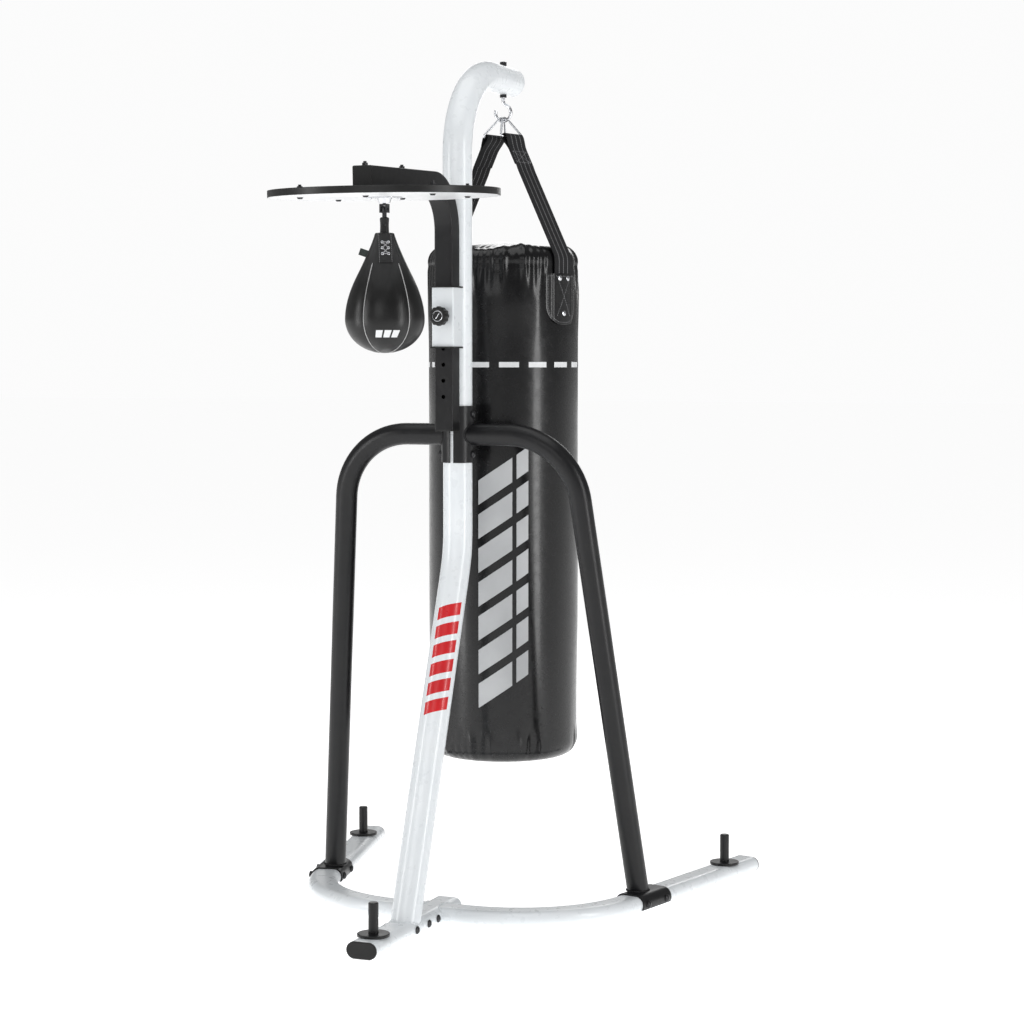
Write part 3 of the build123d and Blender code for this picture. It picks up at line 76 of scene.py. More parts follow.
class Recipe:
    """Lays out the shader nodes of one material."""

    def __init__(self, name: str) -> None:
        """Start a material with its shader and its object coordinates.

        Args:
            name: the material's name.
        """
        self.material = bpy.data.materials.new(name)
        self.material.use_nodes = True
        self.tree = self.material.node_tree
        self.shader = self.tree.nodes["Principled BSDF"]
        self.coords = self.tree.nodes.new("ShaderNodeTexCoord")

    def node(self, kind: str, **settings: object) -> bpy.types.Node:
        """Add a node and set its properties.

        Args:
            kind: Blender's name of the node type.
            settings: properties of the node.

        Returns:
            The new node.
        """
        made = self.tree.nodes.new(kind)
        for key, value in settings.items():
            setattr(made, key, value)
        return made

    def feed(self, node: bpy.types.Node, name: object, value: object) -> None:
        """Give a node's input a constant or another node's output.

        Args:
            node: the node.
            name: the input's name or number.
            value: the constant or the output.
        """
        if isinstance(value, bpy.types.NodeSocket):
            self.tree.links.new(value, node.inputs[name])
        else:
            node.inputs[name].default_value = value

    def stretched(self, stretch: Triple) -> bpy.types.NodeSocket:
        """Scale the object's coordinates unevenly, for grain that runs one way.

        Args:
            stretch: scale along each axis.

        Returns:
            The scaled coordinates.
        """
        mapping = self.node("ShaderNodeMapping")
        self.feed(mapping, "Vector", self.coords.outputs["Object"])
        self.feed(mapping, "Scale", stretch)
        return mapping.outputs["Vector"]

    def cloud(
        self, scale: float, detail: float = 3.0, stretch: Triple = (1.0, 1.0, 1.0)
    ) -> bpy.types.NodeSocket:
        """Noise over the surface.

        Args:
            scale: how many features fit in a metre.
            detail: how many finer layers it has.
            stretch: scale along each axis.

        Returns:
            The noise, from 0 to 1.
        """
        made = self.node("ShaderNodeTexNoise")
        self.feed(made, "Vector", self.stretched(stretch))
        self.feed(made, "Scale", scale)
        self.feed(made, "Detail", detail)
        return made.outputs["Fac"]

    def cells(self, scale: float) -> bpy.types.NodeSocket:
        """Measure the distance to the nearest of scattered points, for pebbled grain.

        Args:
            scale: how many points lie along a metre.

        Returns:
            The distance.
        """
        made = self.node("ShaderNodeTexVoronoi")
        self.feed(made, "Vector", self.coords.outputs["Object"])
        self.feed(made, "Scale", scale)
        return made.outputs["Distance"]

    def span(
        self, value: object, low: float, high: float, start: float, end: float
    ) -> bpy.types.NodeSocket:
        """Map a value from one range to another and hold it there.

        Args:
            value: the value to map.
            low: where the first range starts.
            high: where the first range ends.
            start: result at the low end.
            end: result at the high end.

        Returns:
            The mapped value.
        """
        made = self.node("ShaderNodeMapRange")
        inputs = ("Value", "From Min", "From Max", "To Min", "To Max")
        for name, given in zip(inputs, (value, low, high, start, end)):
            self.feed(made, name, given)
        return made.outputs["Result"]

    def calc(self, operation: str, first: object, second: object = 0.0) -> bpy.types.NodeSocket:
        """Do one step of arithmetic.

        Args:
            operation: Blender's name of the step.
            first: first value.
            second: second value, where the step takes one.

        Returns:
            The result.
        """
        made = self.node("ShaderNodeMath", operation=operation)
        self.feed(made, 0, first)
        self.feed(made, 1, second)
        return made.outputs[0]

    def blend(self, share: object, first: object, second: object) -> bpy.types.NodeSocket:
        """Mix two colours.

        Args:
            share: how much of the second colour shows.
            first: colour at share 0.
            second: colour at share 1.

        Returns:
            The mixed colour.
        """
        made = self.node("ShaderNodeMix", data_type="RGBA")
        self.feed(made, 0, share)
        for place, colour in zip(MIX_COLOUR_INPUTS, (first, second)):
            linked = isinstance(colour, bpy.types.NodeSocket)
            self.feed(made, place, colour if linked else (*colour, 1.0))
        return made.outputs[MIX_COLOUR_OUTPUT]

    def relief(self, height: bpy.types.NodeSocket, depth: float) -> None:
        """Add a bump on top of the ones already there.

        Args:
            height: the relief, from 0 to 1.
            depth: its depth in metres.
        """
        bump = self.node("ShaderNodeBump")
        self.feed(bump, "Strength", 1.0)
        self.feed(bump, "Distance", depth)
        self.feed(bump, "Height", height)
        normal = self.shader.inputs["Normal"]
        if normal.is_linked:
            self.feed(bump, "Normal", normal.links[0].from_socket)
        self.tree.links.new(bump.outputs["Normal"], normal)


@dataclass(frozen=True)
class Finish:
    """One paint, plating, plastic, leather or cloth.

    The second colour mottles the first, and the scuffs lighten and roughen small spots.
    """

    name: str
    colour: Triple
    mottle: Triple
    grain: Grain
    grain_size: float
    grain_depth: float
    roughness: float
    spread: float = 0.05
    metallic: float = 0.0
    coat: float = 0.0
    coat_roughness: float = 0.1
    sheen: float = 0.0
    specular: float = 0.5
    scuffs: float = 0.0
    glow: float = 0.0

    def build(self) -> bpy.types.Material:
        """Make the material.

        Returns:
            The finished material.
        """
        recipe = Recipe(self.name)
        mottle = recipe.span(recipe.cloud(11.0, 4.0), 0.35, 0.65, 0.0, 1.0)
        colour = recipe.blend(mottle, self.colour, self.mottle)
        least, most = self.roughness - self.spread, self.roughness + self.spread
        rough = recipe.span(recipe.cloud(46.0, 4.0), 0.3, 0.7, least, most)
        if self.scuffs:
            specks = recipe.cloud(170.0, 2.0, (1.0, 1.0, 0.25))
            spots = recipe.span(specks, 0.69, 0.75, 0.0, self.scuffs)
            worn = tuple(0.6 * part + 0.12 for part in self.colour)
            colour = recipe.blend(spots, colour, worn)
            rough = recipe.calc("ADD", rough, recipe.calc("MULTIPLY", spots, 0.25))
        recipe.feed(recipe.shader, "Base Color", colour)
        recipe.feed(recipe.shader, "Roughness", rough)
        for name, value in (
            ("Metallic", self.metallic),
            ("Coat Weight", self.coat),
            ("Coat Roughness", self.coat_roughness),
            ("Sheen Weight", self.sheen),
            ("Specular IOR Level", self.specular),
            ("Emission Color", (1.0, 1.0, 1.0, 1.0)),
            ("Emission Strength", self.glow),
        ):
            recipe.shader.inputs[name].default_value = value
        self.cut_grain(recipe)
        return recipe.material

    def cut_grain(self, recipe: Recipe) -> None:
        """Add the fine relief of this finish to a material.

        Args:
            recipe: the material's recipe.
        """
        per_metre = 1.0 / self.grain_size
        if self.grain is Grain.LEATHER:
            recipe.relief(recipe.cells(per_metre), self.grain_depth)
            recipe.relief(recipe.cloud(38.0, 4.0), 5.0 * self.grain_depth)
        elif self.grain is Grain.VINYL:
            recipe.relief(recipe.cells(per_metre), self.grain_depth)
            recipe.relief(recipe.cloud(7.0, 2.0, (1.0, 1.0, 0.5)), 14.0 * self.grain_depth)
        elif self.grain is Grain.BRUSHED:
            recipe.relief(recipe.cloud(per_metre, 2.0, (1.0, 1.0, 0.06)), self.grain_depth)
        elif self.grain is Grain.LAMINATE:
            recipe.relief(recipe.cloud(per_metre, 3.0, (0.2, 1.0, 1.0)), self.grain_depth)
            recipe.relief(recipe.cloud(per_metre / 4.0, 3.0), self.grain_depth)
        elif self.grain is Grain.PEEL:
            recipe.relief(recipe.cloud(per_metre, 1.0), self.grain_depth)
            recipe.relief(recipe.cloud(per_metre / 7.0, 1.0), self.grain_depth)
        else:
            recipe.relief(recipe.cloud(per_metre, 4.0), self.grain_depth)


@dataclass(frozen=True)
class Webbing:
    """Woven strap webbing, which reads its width and its length in metres from the piece's UVs."""

    name: str = "woven_webbing"
    colour: Triple = (0.004, 0.004, 0.0045)
    # painted highlight: a lighter colour for the raised threads of the weave, where the light falls
    # on their tops
    weave_highlight: Triple = (0.013, 0.013, 0.0145)
    thread: Triple = (0.3, 0.3, 0.31)
    ribs: float = 34.0
    picks_per_metre: float = 620.0
    thread_lines: tuple[float, ...] = (0.25, 0.5, 0.75)
    stitches_per_metre: float = 190.0

    def build(self) -> bpy.types.Material:
        """Make the material.

        Returns:
            The woven material with its lines of lock stitch.
        """
        recipe = Recipe(self.name)
        parts = recipe.node("ShaderNodeSeparateXYZ")
        recipe.feed(parts, 0, recipe.coords.outputs["UV"])
        across, along = parts.outputs[0], parts.outputs[1]
        rib, pick, beat = (
            recipe.calc("SINE", recipe.calc("MULTIPLY", way, 2.0 * math.pi * waves))
            for way, waves in (
                (across, self.ribs),
                (along, self.picks_per_metre),
                (along, self.stitches_per_metre),
            )
        )
        weave = recipe.calc("MULTIPLY", rib, pick)
        # painted highlight: the colour turns lighter where the weave is raised, following the same
        # signal as its relief
        colour = recipe.blend(recipe.span(weave, -1.0, 1.0, 0.0, 1.0), self.colour, self.weave_highlight)
        dash = recipe.span(beat, -0.75, -0.45, 0.0, 1.0)
        for line in self.thread_lines:
            offset = recipe.calc("ABSOLUTE", recipe.calc("SUBTRACT", across, line))
            mask = recipe.calc("MULTIPLY", recipe.span(offset, 0.011, 0.017, 1.0, 0.0), dash)
            colour = recipe.blend(mask, colour, self.thread)
            recipe.relief(mask, 0.5 * MM)
        recipe.feed(recipe.shader, "Base Color", colour)
        recipe.feed(recipe.shader, "Roughness", recipe.span(weave, -1.0, 1.0, 0.62, 0.8))
        recipe.shader.inputs["Sheen Weight"].default_value = 0.03
        recipe.shader.inputs["Specular IOR Level"].default_value = 0.25
        recipe.relief(weave, 0.25 * MM)
        return recipe.material


FINISHES: dict[str, Finish | Webbing] = {
    "white_paint": Finish(
        "white_powder_paint", (0.78, 0.81, 0.83), (0.75, 0.785, 0.81), Grain.PEEL, 1.1 * MM,
        0.02 * MM, 0.3, coat=0.35, coat_roughness=0.12,
    ),
    "black_paint": Finish(
        "black_powder_paint", (0.006, 0.006, 0.007), (0.009, 0.009, 0.0095), Grain.PEEL,
        1.0 * MM, 0.05 * MM, 0.34, specular=0.34, scuffs=0.06,
    ),
    "white_plastic": Finish(
        "white_plastic", (0.74, 0.77, 0.79), (0.7, 0.73, 0.75), Grain.MOULDED, 0.6 * MM,
        0.02 * MM, 0.4,
    ),
    "black_plastic": Finish(
        "black_plastic", (0.007, 0.007, 0.007), (0.011, 0.011, 0.011), Grain.MOULDED, 0.5 * MM,
        0.05 * MM, 0.44, specular=0.35,
    ),
    "black_fastener": Finish(
        "black_oxide", (0.018, 0.018, 0.02), (0.03, 0.03, 0.032), Grain.MOULDED, 0.8 * MM,
        0.03 * MM, 0.34, metallic=0.4, scuffs=0.25,
    ),
    "bright_zinc": Finish(
        "bright_zinc", (0.72, 0.73, 0.76), (0.62, 0.63, 0.65), Grain.BRUSHED, 1.2 * MM,
        0.02 * MM, 0.2, metallic=1.0,
    ),
    "bare_steel": Finish(
        "bare_steel", (0.5, 0.5, 0.52), (0.4, 0.4, 0.42), Grain.BRUSHED, 1.0 * MM, 0.03 * MM,
        0.32, metallic=1.0,
    ),
    "platform_black": Finish(
        "black_board", (0.011, 0.011, 0.012), (0.016, 0.016, 0.017), Grain.LAMINATE, 1.5 * MM,
        0.06 * MM, 0.5, specular=0.35, scuffs=0.08,
    ),
    "platform_white": Finish(
        "white_board_facing", (0.84, 0.85, 0.86), (0.8, 0.81, 0.82), Grain.LAMINATE, 1.6 * MM,
        0.03 * MM, 0.35,
    ),
    "edge_band": Finish(
        "edge_band", (0.008, 0.008, 0.008), (0.013, 0.013, 0.013), Grain.MOULDED, 0.8 * MM,
        0.04 * MM, 0.36, specular=0.35,
    ),
    "speed_bag_leather": Finish(
        "speed_bag_leather", (0.005, 0.005, 0.005), (0.008, 0.008, 0.008), Grain.LEATHER,
        1.5 * MM, 0.07 * MM, 0.34, specular=0.35, coat=0.08, coat_roughness=0.25,
    ),
    "bladder_rubber": Finish(
        "bladder_rubber", (0.1, 0.1, 0.1), (0.13, 0.13, 0.13), Grain.MOULDED, 0.8 * MM,
        0.03 * MM, 0.6,
    ),
    "bag_vinyl": Finish(
        "bag_vinyl", (0.002, 0.002, 0.0024), (0.0035, 0.0035, 0.004), Grain.VINYL, 1.3 * MM,
        0.02 * MM, 0.26, specular=0.32, coat=0.22, coat_roughness=0.12,
    ),
    "patch_vinyl": Finish(
        "patch_vinyl", (0.006, 0.006, 0.0065), (0.01, 0.01, 0.0105), Grain.LEATHER, 1.4 * MM,
        0.08 * MM, 0.28, specular=0.35, coat=0.3, coat_roughness=0.2,
    ),
    "bag_filling": Finish(
        "textile_filling", (0.32, 0.32, 0.33), (0.22, 0.23, 0.26), Grain.FELT, 2.0 * MM,
        0.6 * MM, 0.95, sheen=0.3,
    ),
    "webbing": Webbing(),
}
TRIM: dict[str, Finish] = {
    "silver_print": Finish(
        "silver_print", (0.5, 0.51, 0.52), (0.45, 0.46, 0.47), Grain.VINYL, 1.3 * MM, 0.03 * MM,
        0.4,
    ),
    "red_print": Finish(
        "red_print", (0.62, 0.012, 0.016), (0.55, 0.01, 0.014), Grain.PEEL, 1.1 * MM, 0.02 * MM,
        0.32, coat=0.3, coat_roughness=0.14,
    ),
    "white_print": Finish(
        "white_print", (0.74, 0.75, 0.76), (0.68, 0.69, 0.7), Grain.VINYL, 1.2 * MM, 0.03 * MM,
        0.42,
    ),
    "piping": Finish(
        "piping", (0.5, 0.5, 0.5), (0.36, 0.36, 0.36), Grain.LEATHER, 0.9 * MM, 0.05 * MM, 0.45,
    ),
    "thread": Finish(
        "thread", (0.3, 0.3, 0.31), (0.2, 0.2, 0.21), Grain.FELT, 0.4 * MM, 0.05 * MM, 0.7,
        sheen=0.2,
    ),
    "tag_cloth": Finish(
        "tag_cloth", (0.012, 0.02, 0.018), (0.02, 0.03, 0.027), Grain.FELT, 0.5 * MM, 0.08 * MM,
        0.75, sheen=0.2,
    ),
    "floor_paint": Finish(
        "floor_paint", (0.93, 0.93, 0.93), (0.92, 0.92, 0.92), Grain.MOULDED, 4.0 * MM,
        0.02 * MM, 0.85, glow=0.76,
    ),
}


class Paintbox:
    """Makes each finish once and hands out its material."""

    def __init__(self) -> None:
        """Start with no material made."""
        self.made: dict[str, bpy.types.Material] = {}

    def get(self, name: str) -> bpy.types.Material:
        """The material of a finish, made at its first use.

        Args:
            name: the finish's name among the slots or the trim.

        Returns:
            The material.
        """
        if name not in self.made:
            self.made[name] = (FINISHES.get(name) or TRIM[name]).build()
        return self.made[name]


PAINTBOX = Paintbox()


# ---------------------------------------------------------------- mesh tools
class Shell:
    """Points and faces of one mesh, gathered from several forms."""

    def __init__(self) -> None:
        """Start empty."""
        self.points: list[Vector] = []
        self.faces: list[tuple[int, ...]] = []
        self.uvs: dict[int, tuple[float, float]] = {}
        self.marks: list[int] = []

    def add(self, face: tuple[int, ...], mark: int, flip: bool = False) -> None:
        """Add one face.

        Args:
            face: numbers of its points.
            mark: which of the piece's materials it takes.
            flip: turns it over.
        """
        self.faces.append(face[::-1] if flip else face)
        self.marks.append(mark)

    def grid(
        self,
        rows: Rows,
        round_it: bool = False,
        loop: bool = False,
        mark: int = 0,
        uvs: Optional[list[list[tuple[float, float]]]] = None,
        flip: bool = False,
    ) -> list[list[int]]:
        """Add a sheet of quads through rows of points.

        Args:
            rows: rows with equally many points.
            round_it: joins each row's end to its start.
            loop: joins the last row to the first.
            mark: which of the piece's materials the faces take.
            uvs: one UV for each point.
            flip: turns the faces over.

        Returns:
            The numbers of the points, in rows.
        """
        start = len(self.points)
        wide = len(rows[0])
        for row in rows:
            self.points.extend(row)
        if uvs:
            for number, uv in enumerate(uv for row in uvs for uv in row):
                self.uvs[start + number] = uv
        for i in range(len(rows) if loop else len(rows) - 1):
            for j in range(wide if round_it else wide - 1):
                low, high = start + i * wide, start + ((i + 1) % len(rows)) * wide
                k = (j + 1) % wide
                self.add((low + j, low + k, high + k, high + j), mark, flip)
        return [[start + i * wide + j for j in range(wide)] for i in range(len(rows))]

    def vessel(self, rows: Rows, mark: int = 0) -> None:
        """Add a closed form through rings of points.

        Args:
            rows: the rings, from the first end to the last.
            mark: which of the piece's materials it takes.
        """
        rings = self.grid(rows, True, mark=mark)
        self.add(tuple(rings[0]), mark, True)
        self.add(tuple(rings[-1]), mark)

    def slab(
        self, place: Placer, wide: int, tall: int, low: float, high: float, mark: int = 0
    ) -> None:
        """Add a thin closed slab that follows a surface.

        Args:
            place: gives a point from the shares across and along and the height off the surface.
            wide: cells across.
            tall: cells along.
            low: height of the hidden face.
            high: height of the face that shows.
            mark: which of the piece's materials it takes.
        """
        across, along = shares(wide), shares(tall)
        top = self.grid([[place(u, v, high) for u in across] for v in along], mark=mark)
        foot = self.grid([[place(u, v, low) for u in across] for v in along], mark=mark, flip=True)
        self.rim(top[0], foot[0], mark, True)
        self.rim(top[-1], foot[-1], mark, False)
        for end, flip in ((0, False), (-1, True)):
            self.rim([row[end] for row in top], [row[end] for row in foot], mark, flip)

    def rim(self, upper: Sequence[int], lower: Sequence[int], mark: int, flip: bool) -> None:
        """Join two equally long runs of points with a strip of quads.

        Args:
            upper: the first run.
            lower: the second run.
            mark: which of the piece's materials the quads take.
            flip: turns the quads over.
        """
        for i in range(len(upper) - 1):
            self.add((upper[i], upper[i + 1], lower[i + 1], lower[i]), mark, flip)

    def tube(
        self,
        path: Sequence[Vector],
        radius: Callable[[int], float],
        sides: int = 10,
        closed: bool = False,
        mark: int = 0,
    ) -> None:
        """Add a round tube along a path.

        Args:
            path: points of its axis.
            radius: gives the radius at a point's number.
            sides: corners of its section.
            closed: joins the path's end to its start.
            mark: which of the piece's materials it takes.
        """
        count = len(path)
        rows: Rows = []
        side = Vector((0.0, 0.0, 0.0))
        for i, point in enumerate(path):
            ahead = path[(i + 1) % count] if closed or i < count - 1 else point
            behind = path[i - 1] if closed or i > 0 else point
            heading = (ahead - behind).normalized()
            if side.length == 0.0:
                side = heading.orthogonal().normalized()
            side = (side - heading * side.dot(heading)).normalized()
            other = heading.cross(side)
            ring = [side * math.cos(t) + other * math.sin(t) for t in turns(sides)]
            rows.append([point + radius(i) * spoke for spoke in ring])
        if not closed:
            self.vessel(rows, mark)
        else:
            # Start the last joint at the corner that lies nearest, so that the skin doesn't twist.
            gaps = [(rows[-1][0] - corner).length for corner in rows[0]]
            shift = gaps.index(min(gaps))
            steps = [round(shift * i / count) for i in range(count)]
            rows = [row[-step:] + row[:-step] if step else row for row, step in zip(rows, steps)]
            self.grid(rows, True, True, mark)

    def lathe(self, outline: Sequence[tuple[float, float]], place: Placer, steps: int) -> None:
        """Add a turned form that is closed at both ends of its outline.

        Args:
            outline: radius and depth of each ring.
            place: gives a point from the radius, the depth and the turn.
            steps: points round each ring.
        """
        self.vessel([[place(r, d, t) for t in turns(steps)] for r, d in outline])

    def stitches(
        self,
        path: Sequence[Vector],
        length: float = 4.2 * MM,
        pitch: float = 6.4 * MM,
        thick: float = 0.55 * MM,
        mark: int = 0,
    ) -> None:
        """Add a row of raised stitches.

        Args:
            path: points on the surface.
            length: length of each stitch.
            pitch: distance from one stitch to the next.
            thick: radius of the thread.
            mark: which of the piece's materials it takes.
        """
        steps = [(b - a).length for a, b in zip(path, path[1:])]
        total = sum(steps)
        count = max(1, round(total / pitch))

        def at(distance: float) -> Vector:
            """Point at a distance along the path."""
            left = min(max(distance, 0.0), total)
            for step, a, b in zip(steps, path, path[1:]):
                if left <= step or step is steps[-1]:
                    return a.lerp(b, min(1.0, left / max(step, 1e-9)))
                left -= step
            return path[-1]

        places, sizes = (-0.5, -0.32, 0.0, 0.32, 0.5), (0.35, 0.85, 1.0, 0.85, 0.35)
        for k in range(count):
            centre = (k + 0.5) * total / count
            run = [at(centre + share * length) for share in places]
            self.tube(run, lambda i: thick * sizes[i], 6, mark=mark)

    def piece(
        self,
        name: str,
        finishes: Sequence[str],
        body: str,
        replaces: Sequence[str] = (),
    ) -> bpy.types.Object:
        """Turn the gathered faces into a smooth object that moves with a body of the stand.

        Args:
            name: the piece's name.
            finishes: the finish of each mark.
            body: the body that it rides on.
            replaces: nodes that it stands for.

        Returns:
            The object.
        """
        mesh = bpy.data.meshes.new(name)
        mesh.from_pydata([tuple(p) for p in self.points], [], self.faces)
        mesh.validate()
        for finish in finishes:
            mesh.materials.append(PAINTBOX.get(finish))
        mesh.polygons.foreach_set("material_index", self.marks)
        mesh.polygons.foreach_set("use_smooth", [True] * len(mesh.polygons))
        if self.uvs:
            layer = mesh.uv_layers.new(name="cloth")
            for loop in mesh.loops:
                layer.data[loop.index].uv = self.uvs.get(loop.vertex_index, (0.0, 0.0))
        mesh.set_sharp_from_angle(angle=SHARP_EDGE)
        made = bpy.data.objects.new(name, mesh)
        bpy.context.scene.collection.objects.link(made)
        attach(made, body)
        if replaces:
            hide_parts(*replaces)
        LOG.info("made %s: %d faces", name, len(self.faces))
        return made


def turns(count: int) -> list[float]:
    """Equal turns round a circle."""
    return [2.0 * math.pi * k / count for k in range(count)]


def shares(count: int) -> list[float]:
    """Equal steps from 0 to 1, with both ends."""
    return [k / count for k in range(count + 1)]


def ease(value: float) -> float:
    """Smooth step of a value held between 0 and 1."""
    held = min(1.0, max(0.0, value))
    return held * held * (3.0 - 2.0 * held)


def middle(node: str) -> Vector:
    """Middle of a node's box."""
    low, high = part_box(node)
    return (Vector(low) + Vector(high)) / 2.0


def turned(turn: float) -> Vector:
    """Level unit vector at an angle from +X."""
    return Vector((math.cos(turn), math.sin(turn), 0.0))


# ---------------------------------------------------------------- steel frame
@dataclass
class SteelFrame:
    """The bolted tube frame: paints every carried-over node and adds the weld beads."""

    mast_r: float = 38.0 * MM
    mast_lean: float = math.radians(20.5)
    mast_knee_z: float = 935.0 * MM
    beam_flat: float = 19.0 * MM
    beam_r: float = 21.0 * MM
    leg_r: float = 28.5 * MM
    leg_top: tuple[float, float, float] = (0.313, 0.0, 1.24)
    leg_foot: tuple[float, float, float] = (0.445, 0.174, 0.0)
    clamp_r: float = 42.3 * MM
    saddle_top: float = 46.6 * MM
    tube_y: float = -0.162
    tube_half: float = 40.0 * MM
    collar_x: float = 11.0 * MM
    bead_r: float = 2.6 * MM
    weld_low: float = 3.5 * MM
    ripple: float = 0.5 * MM
    ripples: int = 5
    loop_steps: int = 220

    def paint_nodes(self) -> None:
        """Give every node the finish of its material slot."""
        for part in frame["record"]["subparts"]:
            node = frame["nodes"][part["node"]]
            material = PAINTBOX.get(part["material_slot"])
            if not node.material_slots:
                node.data.materials.append(material)
            for place in node.material_slots:
                place.material = material
        LOG.info("painted %d nodes", len(frame["nodes"]))

    def beam_top(self, x: float) -> float:
        """Height of the flat-oval beam's upper side at a distance from its middle."""
        over = min(self.beam_r, max(0.0, abs(x) - self.beam_flat))
        return self.beam_r + math.sqrt(self.beam_r**2 - over**2)

    def bead(
        self, name: str, paths: Sequence[Sequence[Vector]], finish: str, closed: bool = True
    ) -> None:
        """Lay rippled weld beads and paint them with the frame.

        Args:
            name: the piece's name.
            paths: line of each bead.
            finish: the frame's paint round them.
            closed: each line ends where it starts.
        """
        wave = [self.bead_r + self.ripple * math.sin(t) for t in turns(self.ripples)]
        shell = Shell()
        for path in paths:
            shell.tube(path, lambda i: wave[i % self.ripples], 8, closed)
        shell.piece(name, [finish], "stand")

    def round_loop(
        self, base: Vector, axis: Vector, radius: float, top: Callable[[float], float]
    ) -> list[Vector]:
        """Line where a leaning round tube meets the surface under it.

        Args:
            base: a point of the tube's axis.
            axis: the tube's direction, upwards.
            radius: the tube's radius.
            top: gives the surface's height at an X.

        Returns:
            Points of the closed line.
        """
        side = axis.cross(Vector((0.0, 1.0, 0.0))).normalized()
        other = axis.cross(side)
        points = []
        for t in turns(self.loop_steps):
            point = base + radius * (side * math.cos(t) + other * math.sin(t))
            point = point + axis * ((top(point.x) - point.z) / axis.z)
            points.append(point + axis * ((top(point.x) - point.z) / axis.z))
        return points

    def weld(self) -> None:
        """Weld the mast, the side tubes, the legs and the collar."""
        lean = Vector((0.0, math.sin(self.mast_lean), math.cos(self.mast_lean)))
        foot = Vector((0.0, -self.mast_knee_z * math.tan(self.mast_lean), 0.0))
        mast = self.round_loop(foot, lean, self.mast_r, self.beam_top)
        self.bead("mast_foot_weld", [mast], "white_paint")
        self.weld_side_tubes()
        self.weld_legs()
        low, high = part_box("collar")
        y = -self.mast_r - 1.0 * MM
        heights = [low[2] + (high[2] - low[2]) * (0.03 + 0.94 * share) for share in shares(240)]
        lines = [[Vector((x, y, z)) for z in heights] for x in (-self.collar_x, self.collar_x)]
        self.bead("collar_welds", lines, "white_paint", closed=False)

    def weld_side_tubes(self) -> None:
        """Weld the flat-oval side tubes to the beam's rounded flanks."""
        paths = []
        straight = self.tube_half - self.beam_r
        for sign in (-1, 1):
            path = []
            for t in turns(self.loop_steps):
                flat = math.copysign(straight, math.cos(t)) * min(1.0, 3.0 * abs(math.cos(t)))
                y = flat + self.beam_r * math.cos(t)
                z = max(self.beam_r + self.beam_r * math.sin(t), self.weld_low)
                x = self.beam_flat + math.sqrt(max(0.0, self.beam_r**2 - (z - self.beam_r) ** 2))
                path.append(Vector((sign * (x + 0.4 * MM), self.tube_y + y, z)))
            paths.append(path)
        self.bead("side_tube_welds", paths, "white_paint")

    def weld_legs(self) -> None:
        """Weld each leg to its clamp half and to its saddle."""
        heads, feet = [], []
        for sign in (-1, 1):
            mirror = Vector((sign, 1.0, 1.0))
            top, foot = Vector(self.leg_top) * mirror, Vector(self.leg_foot) * mirror
            axis = (top - foot).normalized()
            feet.append(self.round_loop(foot, axis, self.leg_r, lambda x: self.saddle_top))
            head = []
            for t in turns(self.loop_steps):
                y, z = self.leg_r * math.cos(t), self.leg_top[2] + self.leg_r * math.sin(t)
                head.append(Vector((sign * math.sqrt(self.clamp_r**2 - y**2), y, z)))
            heads.append(head)
        self.bead("leg_clamp_welds", heads, "black_paint")
        self.bead("leg_saddle_welds", feet, "black_paint")


@dataclass
class MastStripes:
    """Slanted stripes printed on the leaning part of the mast, on its outer side."""

    mast_r: float = 38.0 * MM
    lean: float = math.radians(20.5)
    knee_z: float = 935.0 * MM
    low_z: float = 0.53
    high_z: float = 0.81
    count: int = 6
    fill: float = 0.66
    facing: float = math.radians(24.0)
    half_width: float = math.radians(47.0)
    slant: float = 0.022
    film: float = 0.25 * MM

    def build(self) -> None:
        """Make the stripes as one thin film."""
        axis = Vector((0.0, math.sin(self.lean), math.cos(self.lean)))
        front = Vector((0.0, -math.cos(self.lean), math.sin(self.lean)))
        across = Vector((1.0, 0.0, 0.0))
        foot = Vector((0.0, -self.knee_z * math.tan(self.lean), 0.0))
        pitch = (self.high_z - self.low_z) / self.count
        shell = Shell()
        for k in range(self.count):
            start = self.low_z + k * pitch

            def place(u: float, v: float, height: float) -> Vector:
                """Point of this stripe at a height off the mast."""
                turn = self.facing + self.half_width * (2.0 * u - 1.0)
                rise = start + v * pitch * self.fill + self.slant * (u - 0.5)
                out = (self.mast_r + height) * (front * math.cos(turn) + across * math.sin(turn))
                return foot + axis * (rise / axis.z) + out

            shell.slab(place, 18, 2, -0.4 * MM, self.film)
        shell.piece("mast_stripes", ["red_print"], "stand")


